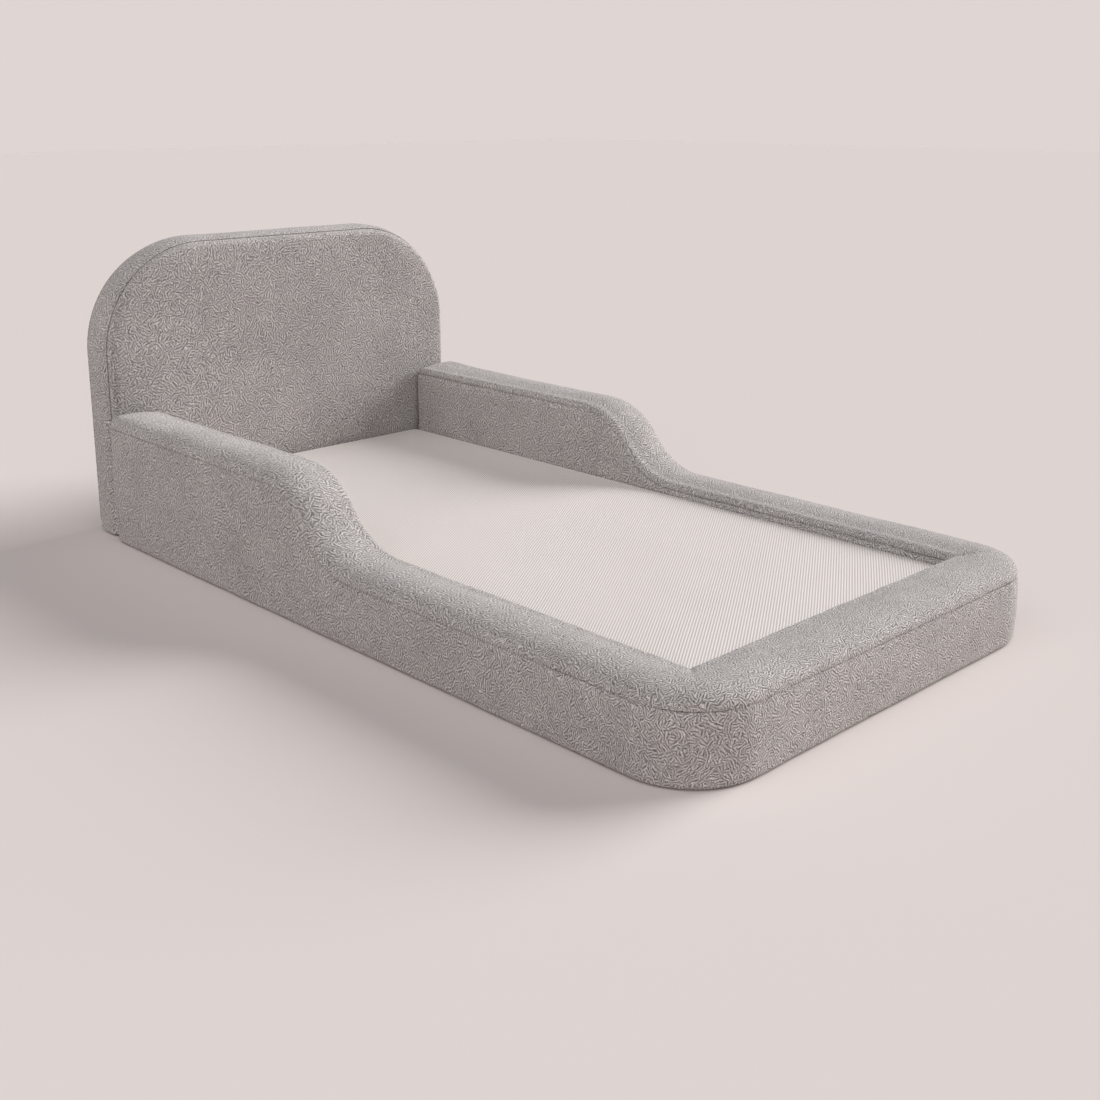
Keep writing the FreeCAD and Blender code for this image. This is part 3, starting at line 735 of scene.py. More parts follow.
def mattress_border_points():
    """The upright border round the mattress, with the sunk window of its zip on the left side."""
    path, ways = mattress_outline()
    tape_low, tape_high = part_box("mattress_zip_tape")
    low, high = tape_low.z, tape_high.z
    middle = (low + high) / 2
    top, bottom = MATTRESS_SEAM, BORDER_FOOT_SEAM
    levels = np.concatenate([
        top - np.array([0, 0.8, 1.6, 2.6, 4.0, 6.0, 9, 13, 18, 24, 31, 40, 48]) / 1000,
        [high + 0.004, high + 0.0008, high + 0.0001, high - 0.0004, high - 0.006, middle, low + 0.006,
         low + 0.0004, low - 0.0001, low - 0.0008, low - 0.004],
        bottom + np.array([22, 15, 10, 6.0, 4.0, 2.6, 1.6, 0.8, 0]) / 1000,
    ])
    points = together(path[:, :1], path[:, 1:], levels)
    share = (top - levels) / (top - bottom)
    on_left = (ways[:, 0] < -0.99)[:, None]
    sunk = in_window(points[..., 1], tape_high.y, points[..., 2], low, high) * on_left
    calm = np.clip(1 - (np.abs(points[..., 2] - middle) - 0.012) / 0.016, 0, 1) * on_left
    swell = 0.0016 * np.sin(math.pi * share) + MATTRESS_SPREAD * np.clip(1 - share / 0.4, 0, 1)
    out = swell[None, :] + dress(points, ("first", "last"), dents=0.0005, groove=0.0024, seed=71)
    out = out * (1 - calm) - ZIP_SINK * sunk
    return points + sideways(ways) * out[..., None]


# ---------------------------------------------------------------- sheets of lining and underside cloth

def flat_sheet(name, low, high, columns, rows, below, waves, quilt=0.0):
    """A level sheet of cloth between two corners. If its foam is below it looks up, at the upper corner's
    height, and otherwise down, at the lower one's. waves and quilt are how deep it dips."""
    x = np.linspace(low[0], high[0], columns)
    y = np.linspace(low[1], high[1], rows)
    x, y = np.meshgrid(x, y)
    places = together(x, y, 0)
    edge = np.minimum(np.minimum(x - low[0], high[0] - x), np.minimum(y - low[1], high[1] - y))
    drop = waves * (0.5 + 0.5 * soft_noise(places, 0.09, 81))
    if quilt:
        lane = 0.098
        lanes = together(x + y, x - y) / lane
        drop = drop + quilt * np.exp(-((np.abs(lanes - np.round(lanes)) / 0.10) ** 2)).max(axis=-1)
    drop = drop * np.clip(edge / 0.006, 0.3, 1)
    z = high[2] - drop if below else low[2] + drop
    return cloth_grid(name, together(x, y, z), FAR_BELOW if below else FAR_ABOVE, thick=LINING_CLOTH)


def frame_underside():
    """The non-slip cloth under the whole frame, sewn in just inside the outer band's tuck."""
    count = corner_start + CORNER_STATIONS
    left = outer_edge[1:count] - outward[1:count] * UNDERSIDE_INSET
    left[:, 1] = np.minimum(left[:, 1], HEAD_END - 0.001)
    spread = np.linspace(0, 1, 60)
    x = left[:, :1] * (1 - 2 * spread)
    y = left[:, 1:]
    z = 0.0002 + 0.0007 * (0.5 + 0.5 * soft_noise(together(x, y, 0), 0.07, 83))
    return cloth_grid("frame_underside_cloth", together(x, y, z), FAR_ABOVE, thick=UNDERSIDE_CLOTH)


def base_end_strip():
    """The strip of cloth that closes the frame's floor at the head end."""
    low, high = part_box("base_end_panel")
    x, z = np.meshgrid(np.linspace(low.x, high.x, 80), np.linspace(0.001, high.z - 0.0008, 8))
    y = high.y - 0.0006 + 0.0006 * np.sin(math.pi * z / high.z)
    y = y + 0.0003 * soft_noise(together(x, z, z), 0.05, 85)
    behind = np.array([0.0, 0.0, 0.01])
    return cloth_grid("base_end_strip", together(x, y, z), behind, thick=LINING_CLOTH)


# ---------------------------------------------------------------- foam under the covers

# How far foam lies inside the outside of its cover, and how far it draws in behind the well's zips.
FOAM_GAP = 0.007
BEHIND_ZIP = 0.0075


def foam_block(name, rings):
    """A closed block of foam through matching rings of places, its two ends cut flat."""
    rings = np.asarray(rings, float)
    count = rings.shape[1]
    index = np.arange(rings.shape[0] * count).reshape(-1, count)
    faces = np.concatenate([ring_faces(a, b) for a, b in zip(index, index[1:])])
    piece = made(name, rings.reshape(-1, 3), faces)
    shape = bmesh.new()
    shape.from_mesh(piece.data)
    bmesh.ops.holes_fill(shape, edges=shape.edges, sides=0)
    bmesh.ops.recalc_face_normals(shape, faces=shape.faces)
    shape.to_mesh(piece.data)
    shape.free()
    return piece


def rail_foam(name, first, last):
    """The foam that fills the cover between two stations, just inside its cloth."""
    rows = np.unique(np.linspace(first, last, (last - first) // 4 + 2).astype(int))
    well_side = inner_band[rows][:, ::2].copy()
    behind_zip = np.clip((0.090 - well_side[..., 2]) / 0.015, 0, 1)
    well_side[..., :2] -= BEHIND_ZIP * wellward[rows][:, None] * behind_zip[..., None]
    rings = np.concatenate([outer_band[rows, ::-1][:, ::2], rail_top[rows][:, 2:-2:2], well_side], axis=1)
    centre = rings.mean(axis=1, keepdims=True)
    reach = np.linalg.norm(rings - centre, axis=-1, keepdims=True)
    rings = centre + (rings - centre) * (1 - FOAM_GAP / reach)
    rings[..., 2] = np.maximum(rings[..., 2], 0.004)
    rings[..., 1] = np.minimum(rings[..., 1], HEAD_END - 0.006)
    return foam_block(name, rings)


def slab_foam(name, loop, low, high, place, roll=0.004):
    """A flat slab of foam: the same outline from a low to a high face, its edges a little worn."""
    middle = loop.mean(axis=0)
    reach = np.linalg.norm(loop - middle, axis=-1, keepdims=True)
    steps = [(roll, low), (roll * 0.3, low + roll * 0.3), (0.0, low + roll), (0.0, high - roll),
             (roll * 0.3, high - roll * 0.3), (roll, high)]
    rings = []
    for inset, height in steps:
        ring = middle + (loop - middle) * (1 - inset / reach)
        rings.append(place(ring[:, 0], ring[:, 1], np.full(len(ring), height)))
    return foam_block(name, rings)


def box_loop(half_x, low_y, high_y):
    """Points once round a rectangle."""
    count = 40
    x, y = np.meshgrid(np.linspace(-half_x, half_x, count), np.linspace(low_y, high_y, count))
    return together(x, y).reshape(-1, 2)[rim_of(count, count)]


# ---------------------------------------------------------------- node trees

class Wiring:
    """A node tree and short ways to add to it. All but node give the new node's first output."""

    def __init__(self, tree):
        self.tree = tree

    def node(self, kind, sockets=None, **fields):
        """Adds a node. sockets are its inputs, as values or other nodes' outputs, and fields its settings."""
        node = self.tree.nodes.new(kind)
        for name, value in fields.items():
            setattr(node, name, value)
        for name, value in (sockets or {}).items():
            if isinstance(value, bpy.types.NodeSocket):
                self.tree.links.new(value, node.inputs[name])
            else:
                node.inputs[name].default_value = value
        return node

    def first(self, kind, sockets=None, **fields):
        return self.node(kind, sockets, **fields).outputs[0]

    def maths(self, operation, *values):
        return self.first("ShaderNodeMath", dict(enumerate(values)), operation=operation)

    def vectors(self, operation, *values):
        return self.first("ShaderNodeVectorMath", dict(enumerate(values)), operation=operation)

    def scaled(self, vector, scale):
        return self.first("ShaderNodeVectorMath", {0: vector, "Scale": scale}, operation="SCALE")

    def place(self, x=0.0, y=0.0, z=0.0):
        return self.first("ShaderNodeCombineXYZ", {"X": x, "Y": y, "Z": z})


def growing_tree(name, *sizes):
    """An empty Geometry Nodes tree with named inputs for its sizes, as (its wiring, those inputs)."""
    tree = bpy.data.node_groups.new(name, "GeometryNodeTree")
    tree.interface.new_socket("Geometry", in_out="OUTPUT", socket_type="NodeSocketGeometry")
    for size in sizes:
        tree.interface.new_socket(size, in_out="INPUT", socket_type="NodeSocketFloat")
    wiring = Wiring(tree)
    return wiring, wiring.node("NodeGroupInput").outputs


def pitched_row(wiring, size):
    """Points one pitch apart along the whole length."""
    return wiring.first("GeometryNodeMeshLine", {
        "Count": wiring.maths("DIVIDE", size["Length"], size["Pitch"]),
        "Start Location": wiring.place(wiring.maths("MULTIPLY", size["Length"], -0.5)),
        "Offset": wiring.place(size["Pitch"])}, mode="OFFSET")


def bent_wire(wiring, ends, top, radius, steps, sides):
    """A round wire or thread, bent from one end over its top to the other."""
    bend = wiring.first("GeometryNodeCurveQuadraticBezier", {
        "Resolution": steps, "Start": ends[0], "Middle": top, "End": ends[1]})
    section = wiring.first("GeometryNodeCurvePrimitiveCircle", {"Resolution": sides, "Radius": radius})
    return wiring.first("GeometryNodeCurveToMesh", {
        "Curve": bend, "Profile Curve": section, "Fill Caps": True})


def finished_tree(wiring, instances, material):
    """Ends a tree as plain faces with one finish."""
    real = wiring.first("GeometryNodeRealizeInstances", {"Geometry": instances})
    smooth = wiring.first("GeometryNodeSetShadeSmooth", {"Geometry": real})
    coated = wiring.first("GeometryNodeSetMaterial", {"Geometry": smooth, "Material": material})
    wiring.node("NodeGroupOutput", {"Geometry": coated})
    return wiring.tree


def coil_tree(material):
    """Zip coil: nylon loops in turn from the left and the right, each bent over the middle of the chain."""
    wiring, size = growing_tree("zip_coil_loops", "Length", "Pitch", "Half Width", "Rise", "Wire")
    low = wiring.maths("MULTIPLY", size["Rise"], 0.25)
    sides = [wiring.maths("MULTIPLY", size["Half Width"], share) for share in (-0.88, 0.30)]
    ends = [wiring.place(y=side, z=low) for side in sides]
    top = wiring.place(z=wiring.maths("MULTIPLY", size["Rise"], 1.7))
    loop = bent_wire(wiring, ends, top, size["Wire"], steps=5, sides=6)
    turn = wiring.place(z=wiring.maths("MULTIPLY", wiring.first("GeometryNodeInputIndex"), math.pi))
    chain = wiring.first("GeometryNodeInstanceOnPoints", {
        "Points": pitched_row(wiring, size), "Instance": loop, "Rotation": turn})
    return finished_tree(wiring, chain, material)


def stitch_tree(material):
    """Two rows of running stitches, one each side of a middle line."""
    wiring, size = growing_tree("zip_tape_stitches", "Length", "Pitch", "Stitch", "Thread", "Row Gap")
    deep = wiring.maths("MULTIPLY", size["Thread"], -1.0)
    ends = [wiring.place(wiring.maths("MULTIPLY", size["Stitch"], share), z=deep) for share in (-0.5, 0.5)]
    top = wiring.place(z=wiring.maths("MULTIPLY", size["Thread"], 2.4))
    stitch = bent_wire(wiring, ends, top, size["Thread"], steps=4, sides=5)
    points = pitched_row(wiring, size)
    row = wiring.first("GeometryNodeInstanceOnPoints", {"Points": points, "Instance": stitch})
    rows = wiring.node("GeometryNodeJoinGeometry")
    for share in (-0.5, 0.5):
        aside = wiring.place(y=wiring.maths("MULTIPLY", size["Row Gap"], share))
        moved = wiring.first("GeometryNodeTransform", {"Geometry": row, "Translation": aside})
        wiring.tree.links.new(moved, rows.inputs[0])
    return finished_tree(wiring, rows.outputs[0], material)


def grown(name, tree, sizes, matrix):
    """The plain mesh that a tree grows at these sizes, put in its place."""
    start = linked(name + "_start", bpy.data.meshes.new(name + "_start"))
    modifier = start.modifiers.new(name, "NODES")
    modifier.node_group = tree
    for socket in tree.interface.items_tree:
        if socket.name in sizes:
            modifier[socket.identifier] = sizes[socket.name]
    evaluated = start.evaluated_get(bpy.context.evaluated_depsgraph_get())
    mesh = bpy.data.meshes.new_from_object(evaluated)
    start.modifiers.remove(modifier)
    bpy.data.objects.remove(start)
    mesh.name = name
    mesh.transform(Matrix(matrix.tolist()))
    return linked(name, mesh)


# ---------------------------------------------------------------- zips

# Sizes of a zip's loops and stitches, in metres.
COIL_SIZES = {"Pitch": 0.00105, "Half Width": 0.0030, "Rise": 0.0022, "Wire": 0.00044}
STITCH_SIZES = {"Pitch": 0.0036, "Stitch": 0.0028, "Thread": 0.00028, "Row Gap": 0.018}
COIL_SHORTER = 0.0125
STITCHES_SHORTER = 0.004
COIL_LIFT = 0.0010
STITCH_LIFT = 0.0008
SLIDER_EDGE = 0.00018


def zip_place(name, out):
    """A zip's length, its slider's place, and the matrix from its axes (along, up, out) to the bed's."""
    low, high = (np.array(corner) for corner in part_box(name + "_zip_tape"))
    out = np.array(out, float)
    up = np.array([0.0, 0.0, 1.0])
    along = np.cross(up, out)
    bed = np.where(out > 0, low, np.where(out < 0, high, (low + high) / 2))
    matrix = np.eye(4)
    matrix[:3] = np.column_stack([along, up, out, bed])
    slider_low, slider_high = (np.array(corner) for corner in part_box(name + "_zip_slider"))
    slider = ((slider_low + slider_high) / 2 - bed) @ along
    return {"name": name, "length": np.abs((high - low) @ along), "slider": slider, "matrix": matrix}


def lifted(zipper, height):
    """The matrix of a zip's own frame, moved out from its bed."""
    matrix = np.array(zipper["matrix"])
    matrix[:3, 3] += matrix[:3, 2] * height
    return matrix


def zip_tape(zipper):
    """The woven tape: two halves that meet under the coil, each with a corded edge."""
    half = zipper["length"] / 2
    u = np.linspace(-half, half, int(zipper["length"] / 0.012))
    v = np.array([0.2, 0.5, 1.6, 2.8, 3.6, 5, 8.8, 9.0, 9.2, 11.6, 12])
    v = np.concatenate([-v[::-1], [0], v]) / 1000
    u, v = np.meshgrid(u, v, indexing="ij")
    cord = 0.0003 * np.exp(-(((np.abs(v) - 0.0022) / 0.0007) ** 2))
    slit = 0.0004 * np.exp(-((v / 0.0002) ** 2))
    w = 0.0009 + cord - slit
    w -= 0.00025 * np.exp(-(((np.abs(v) - 0.009) / 0.0004) ** 2))
    w += 0.00012 * soft_noise(together(u, v, 0), 0.03, 91)
    turn, bed = zipper["matrix"][:3, :3], zipper["matrix"][:3, 3]
    points = together(u, v, w) @ turn.T + bed
    return cloth_grid(zipper["name"] + "_zip_woven_tape", points, bed - 3 * turn[:, 2], thick=TAPE_CLOTH)


def lofted(shape, rings):
    """Adds a closed solid through matching rings to a bmesh."""
    rows = [[shape.verts.new(place) for place in ring] for ring in rings]
    for ring_a, ring_b in zip(rows, rows[1:]):
        for i in range(len(ring_a)):
            j = (i + 1) % len(ring_a)
            shape.faces.new((ring_a[i], ring_a[j], ring_b[j], ring_b[i]))
    shape.faces.new(rows[0])
    shape.faces.new(rows[-1])


def solid_piece(name, shape, matrix, edge):
    """Turns a bmesh of closed solids into a piece, with its sharp edges eased."""
    bmesh.ops.recalc_face_normals(shape, faces=shape.faces)
    if edge:
        sharp = [e for e in shape.edges if len(e.link_faces) == 2 and e.calc_face_angle() > 0.6]
        bmesh.ops.bevel(shape, geom=sharp, offset=edge, segments=2, profile=0.6, affect="EDGES",
                        clamp_overlap=True)
    mesh = bpy.data.meshes.new(name)
    shape.to_mesh(mesh)
    shape.free()
    mesh.transform(Matrix(matrix.tolist()))
    mesh.shade_smooth()
    return linked(name, mesh)


def zip_slider(zipper):
    """The slider: a bent-down plate with broad shoulders that rides over the chain, and a low bridge."""
    shape = bmesh.new()
    wall, roof, top, under = 0.00115, 0.0038, 0.0050, 0.0013
    plan = ((-7.5, 3.9), (-6.9, 4.15), (-2.0, 4.25), (1.0, 4.45), (3.2, 4.5), (6.2, 4.5), (7.1, 4.3),
            (7.5, 3.95))
    rings = []
    for u, b in plan:
        u, b = u / 1000, b / 1000
        ring = [(-b, under), (-b + wall, under), (-b + wall, roof), (b - wall, roof), (b - wall, under),
                (b, under), (b, top - 0.0005), (b - 0.0006, top), (-b + 0.0006, top), (-b, top - 0.0005)]
        rings.append([(zipper["slider"] + u, v, w) for v, w in ring])
    lofted(shape, rings)
    half_length, rise, half_thick = 0.0036, 0.0010, 0.00042
    bridge = []
    for turn in np.linspace(0, math.pi, 11):
        u = -half_length * math.cos(turn)
        w = top - 0.0003 + rise * math.sin(turn) ** 0.6
        tilt = (-math.cos(turn) * half_thick, half_thick * math.sin(turn) + 0.0002)
        ring = [(-0.0011, -1), (0.0011, -1), (0.0013, 0), (0.0011, 1), (-0.0011, 1), (-0.0013, 0)]
        bridge.append([(zipper["slider"] + u + tilt[0] * side, v, w + tilt[1] * side) for v, side in ring])
    lofted(shape, bridge)
    return solid_piece(zipper["name"] + "_zip_cast_slider", shape, zipper["matrix"], SLIDER_EDGE)


def zip_clamps(zipper):
    """The two end stops, crimped round the chain."""
    shape = bmesh.new()
    turn = np.linspace(0, 2 * math.pi, 21)[:-1]
    half_width, half_height, middle_height = 0.0030, 0.00125, 0.00225
    half = ((2.9, 0.72), (2.6, 0.9), (1.8, 1.0), (0.8, 0.99), (0.35, 0.88))
    stations = [(-u, size) for u, size in half] + list(half[::-1])
    for end in (-1, 1):
        middle = end * (zipper["length"] / 2 - 0.003)
        rings = []
        for u, size in stations:
            v = half_width * size * np.sign(np.cos(turn)) * np.abs(np.cos(turn)) ** 0.6
            w = middle_height + half_height * size * np.sign(np.sin(turn)) * np.abs(np.sin(turn)) ** 0.6
            rings.append([(middle + u / 1000, a, b) for a, b in zip(v, w)])
        lofted(shape, rings)
    return solid_piece(zipper["name"] + "_zip_end_clamps", shape, zipper["matrix"], 0)


# ---------------------------------------------------------------- finishes

def linear(shade):
    """An sRGB hex colour as the linear one that the shaders use."""
    parts = [int(shade[i:i + 2], 16) / 255 for i in (0, 2, 4)]
    return tuple(p / 12.92 if p <= 0.04045 else ((p + 0.055) / 1.055) ** 2.4 for p in parts) + (1.0,)


class Finish(Wiring):
    """A material in the making: a shader at the given settings, and the nodes that lead to it."""

    def __init__(self, name, **settings):
        self.material = bpy.data.materials.new(name)
        self.material.use_nodes = True
        super().__init__(self.material.node_tree)
        self.tree.nodes.clear()
        self.shader = self.node("ShaderNodeBsdfPrincipled", {
            setting.replace("_", " ").title(): value for setting, value in settings.items()})
        self.node("ShaderNodeOutputMaterial", {"Surface": self.shader.outputs[0]})

    def on_bed(self):
        """Each point's place in the bed's own frame."""
        return self.node("ShaderNodeTexCoord").outputs["Object"]

    def turned(self, vector, angle):
        return self.first("ShaderNodeMapping", {"Vector": vector, "Rotation": (0.0, 0.0, angle)})

    def noise(self, vector, scale, detail, output=0):
        """Smooth noise, one value from 0 to 1 or, from its Color output, three."""
        texture = self.node("ShaderNodeTexNoise", {"Vector": vector, "Scale": scale, "Detail": detail})
        return texture.outputs[output]

    def remapped(self, value, from_low, from_high, low, high):
        return self.first("ShaderNodeMapRange", {
            "Value": value, "From Min": from_low, "From Max": from_high, "To Min": low, "To Max": high})

    def ribs(self, vector, axis, spacing):
        """A wave across one axis of a vector, from -1 to 1, with a spacing in metres."""
        lane = self.node("ShaderNodeSeparateXYZ", {"Vector": vector}).outputs[axis]
        return self.maths("SINE", self.maths("MULTIPLY", lane, 2 * math.pi / spacing))

    def ramp(self, value, *stops):
        """The colour that a value picks from stops of (position, sRGB hex)."""
        node = self.node("ShaderNodeValToRGB", {"Fac": value})
        elements = node.color_ramp.elements
        while len(elements) < len(stops):
            elements.new(0.5)
        for element, (position, shade) in zip(elements, stops):
            element.position = position
            element.color = linear(shade)
        return node.outputs[0]

    def done(self, colour, height, relief, strength):
        """The material, once a colour and the relief of a height lead to its shader."""
        bump = self.first("ShaderNodeBump", {"Height": height, "Distance": relief, "Strength": strength})
        self.tree.links.new(colour, self.shader.inputs["Base Color"])
        self.tree.links.new(bump, self.shader.inputs["Normal"])
        return self.material


def boucle_finish():
    # Loop-yarn upholstery cloth: grey curls 2 to 3 mm wide lie every way in small groups, which gives a matt,
    # woolly surface that catches side light. The gaps between the curls are painted dark, as painted shade,
    # and the curls' tops light, as painted light. Real curls are finer: these are as coarse as they need to be
    # to show across a room.
    finish = Finish("boucle_loop_yarn", roughness=0.95, sheen_weight=0.12, sheen_roughness=0.6)
    coordinate = finish.node("ShaderNodeTexCoord").outputs
    # Towards the head the curls are up to 39% larger and swing up to 28% less, and so don't turn to speckle.
    along = finish.node("ShaderNodeSeparateXYZ", {"Vector": coordinate["Object"]}).outputs["Y"]
    fineness = finish.remapped(along, -1.1, 0.3, 1.0, 0.72)
    place = finish.scaled(coordinate["Object"], fineness)
    # Each tuft has its own way, in which its curls lie side by side.
    drift, tufts_per_metre, curl_pitch = 0.0078, 86.0, 0.0055
    bending = finish.noise(place, scale=92.0, detail=1.0, output="Color")
    bent = finish.vectors("MULTIPLY_ADD", bending, (drift,) * 3, place)
    tuft = finish.node("ShaderNodeTexVoronoi", {"Vector": bent, "Scale": tufts_per_metre}).outputs
    in_tuft = finish.vectors("SUBTRACT", bent, tuft["Position"])
    lying = finish.vectors("CROSS_PRODUCT", finish.vectors("SUBTRACT", tuft["Color"], (0.5,) * 3),
                           coordinate["Normal"])
    across = finish.node("ShaderNodeVectorMath", {0: finish.vectors("NORMALIZE", lying), 1: in_tuft},
                         operation="DOT_PRODUCT").outputs["Value"]
    curl_wave = finish.maths("SINE", finish.maths("MULTIPLY_ADD", across, 2 * math.pi / curl_pitch, 1.0))
    swing = finish.remapped(finish.noise(place, scale=125.0, detail=1.0), 0.35, 0.65, 0.12, 0.46)
    curl = finish.maths("MULTIPLY_ADD", curl_wave, finish.maths("MULTIPLY", swing, fineness), 0.5)
    pile = finish.maths("MULTIPLY_ADD", finish.noise(place, scale=360.0, detail=2.0), 1.1, -0.55)
    height = finish.maths("ADD", curl, pile)
    # The colour follows the height: painted shade in the gaps between curls, painted light on their tops.
    yarn_with_painted_shade = finish.ramp(height, (0.05, "615c5b"), (0.5, "a49e9c"), (0.95, "dfd8d5"))
    worn = finish.remapped(finish.noise(place, scale=11.0, detail=2.0), 0.3, 0.7, 0.93, 1.06)
    return finish.done(finish.scaled(yarn_with_painted_shade, worn), height, relief=0.0015, strength=0.55)


def knit_finish():
    # Mattress ticking: white polyester knit with fine diagonal ribs, broken into small stitches; the ribs'
    # hollows are painted darker, as painted shade, and their crests lighter. Real ribs are too fine to show,
    # so these are drawn 5.8 mm apart.
    finish = Finish("ribbed_ticking_knit", roughness=0.88, sheen_weight=0.05)
    turned = finish.turned(finish.on_bed(), math.radians(56))
    rib = finish.ribs(turned, 0, spacing=0.0058)
    mixed = finish.maths("MULTIPLY_ADD", finish.ribs(turned, 1, spacing=0.0052), 0.25, rib)
    height = finish.maths("MULTIPLY_ADD", mixed, 0.4, 0.5)
    # Colour by rib height: painted shade in the hollows, painted light on the crests.
    yarn_with_painted_shade = finish.ramp(height, (0.0, "c0b7b3"), (0.5, "dad2ce"), (1.0, "ebe4e1"))
    return finish.done(yarn_with_painted_shade, height, relief=0.0009, strength=0.7)


def cloth_finish(name, dark, light, spacing, relief, turn=0.0, **settings):
    """A plain-woven or flat-knit cloth: two crossed sets of threads, uneven from place to place. Real threads
    lie 1 mm apart or less, too fine to show, so the spacings used are coarser."""
    finish = Finish(name, **settings)
    place = finish.on_bed()
    turned = finish.turned(place, turn)
    warp, weft, standing = (finish.ribs(turned, axis, spacing) for axis in range(3))
    woven = finish.maths("MULTIPLY_ADD", standing, 0.4, finish.maths("MULTIPLY", warp, weft))
    uneven = finish.maths("MULTIPLY_ADD", woven, 0.22, finish.noise(place, scale=60.0, detail=3.0))
    return finish.done(finish.ramp(uneven, (0.25, dark), (0.75, light)), woven, relief, strength=0.6)


def dotted_finish():
    # Black polyester cloth with soft rubbery dots, 3 mm across and 6 mm apart, that grip a smooth floor.
    finish = Finish("dotted_nonslip_cloth", roughness=0.8)
    place = finish.on_bed()
    turned = finish.turned(place, math.radians(45))
    crossed = finish.maths("MULTIPLY", *(finish.ribs(turned, axis, spacing=0.009) for axis in (0, 1)))
    dot = finish.remapped(crossed, 0.45, 0.62, 0.0, 1.0)
    height = finish.maths("MULTIPLY_ADD", finish.noise(place, scale=700.0, detail=1.0), 0.3, dot)
    colour = finish.ramp(height, (0.1, "3a3938"), (0.5, "504f4e"), (0.9, "2b2a2a"))
    return finish.done(colour, height, relief=0.0005, strength=0.8)


def speckled_finish(name, dark, light, grain, relief, **settings):
    """A surface with a fine uneven grain, such as cast metal, moulded nylon or foam."""
    finish = Finish(name, **settings)
    cells = finish.noise(finish.on_bed(), scale=1 / grain, detail=2.0)
    return finish.done(finish.ramp(cells, (0.35, dark), (0.65, light)), cells, relief, strength=0.5)


def plywood_finish():
    # Birch plywood, rotary cut: pale, with long soft grain along the board and seven plies on its edge.
    finish = Finish("rotary_cut_birch_plywood", roughness=0.62)
    place = finish.on_bed()
    drawn = finish.first("ShaderNodeMapping", {"Vector": place, "Scale": (5.0, 60.0, 60.0)})
    grain = finish.noise(drawn, scale=1.4, detail=5.0)
    mixed = finish.maths("MULTIPLY_ADD", finish.ribs(place, 1, spacing=0.0034), 0.10, grain)
    colour = finish.ramp(mixed, (0.3, "b08c63"), (0.5, "cfae84"), (0.7, "dfc49c"))
    return finish.done(colour, mixed, relief=0.0003, strength=0.4)


BOUCLE = boucle_finish()
KNIT = knit_finish()
# Flat polyester knit of the mattress's sides and underside: white, finely and evenly stitched.
BORDER_KNIT = cloth_finish("flat_border_knit", "cdc5c1", "ded6d2", spacing=0.0032, relief=0.0004, turn=0.7,
                           roughness=0.9)
# Quilted polypropylene lining of the well: pale grey, plain and slightly rough.
LINING = cloth_finish("quilted_well_lining", "a9a5a1", "c2beba", spacing=0.0030, relief=0.0004,
                      roughness=0.86)
UNDERSIDE = dotted_finish()
# Zip tape: tightly woven grey polyester.
TAPE = cloth_finish("woven_zip_tape", "8a8583", "a09b98", spacing=0.0022, relief=0.0003, roughness=0.82)
# Polyester sewing thread, twisted, with a little shine on each turn.
THREAD = cloth_finish("twisted_sewing_thread", "9c9693", "b9b3b0", spacing=0.0012, relief=0.0002,
                      roughness=0.6)
# Moulded polyester monofilament of the coil: grey, half-gloss.
COIL = speckled_finish("moulded_coil_filament", "8b8784", "989491", grain=0.004, relief=0.00005,
                       roughness=0.42)
# Die-cast zinc with a nickel coat: bright, tumbled smooth.
ZINC = speckled_finish("nickel_plated_zinc", "bdbab5", "cfccc8", grain=0.0015, relief=0.00005, metallic=1.0,
                       roughness=0.33)
# Hook and loop tape: dark grey nylon, a dense pile of tiny hooks or loops.
FASTENER = speckled_finish("hook_and_loop_tape", "55504e", "787371", grain=0.0022, relief=0.0012,
                           roughness=0.9)
# Cut polyurethane foam: cream, with open cells 1 to 2 mm across.
FOAM = speckled_finish("open_cell_foam", "d9cfae", "ece4c8", grain=0.0016, relief=0.0010, roughness=0.95)
PLYWOOD = plywood_finish()


# ---------------------------------------------------------------- putting the pieces together

def fit(piece, body, material, replaced=()):
    """Gives a piece its finish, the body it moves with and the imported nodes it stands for."""
    if not piece.data.materials:
        piece.data.materials.append(material)
    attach(piece, body)
    if replaced:
        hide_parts(*replaced)
    return piece


def cover(piece, node):
    """Fits one panel of the boucle cover, drawn over foam with a little slack."""
    return fit(piece, "frame", BOUCLE, [node])


def foam(piece, node, body="frame"):
    """Fits one block of foam."""
    return fit(piece, body, FOAM, [node])


def block_foam(name, node, body, side_gap=HEM, top_gap=0.0, roll=0.004):
    """Fits a slab of foam that fills its packed block but for small gaps."""
    low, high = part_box(node)
    loop = box_loop(high.x - side_gap, low.y + HEM, high.y - HEM)
    return foam(slab_foam(name, loop, low.z, high.z - top_gap, level, roll), node, body)


def coat(node, material):
    """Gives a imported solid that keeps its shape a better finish."""
    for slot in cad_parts[node].material_slots:
        slot.material = material


inner_middle = np.column_stack([inner_edge - wellward * 0.4, np.full(len(inner_edge), 0.1)])
inner_middle = np.repeat(inner_middle, inner_band.shape[1], axis=0)
cover(cloth_grid("cover_top_panel", rail_top, FAR_BELOW), "rail_top_panel")
cover(cloth_grid("cover_outer_band", outer_band, MIDDLE_OF_BED), "outer_band")
cover(cloth_grid("cover_inner_band", inner_band, inner_middle), "inner_band")
cover(end_panel("cover_end_panel_left", 0), "rail_end_panel_left")
cover(end_panel("cover_end_panel_right", LAST_STATION), "rail_end_panel_right")
cover(cloth_grid("headboard_side_band", side_band_points(), MIDDLE_OF_HEADBOARD), "headboard_gusset")
cover(headboard_front(), "headboard_front_panel")
cover(headboard_rear(), "headboard_back_panel")
fit(mattress_top(), "mattress", KNIT, ["mattress_top_panel"])
fit(cloth_grid("mattress_side_border", mattress_border_points(), MIDDLE_OF_MATTRESS, closed=True), "mattress",
    BORDER_KNIT, ["mattress_border"])

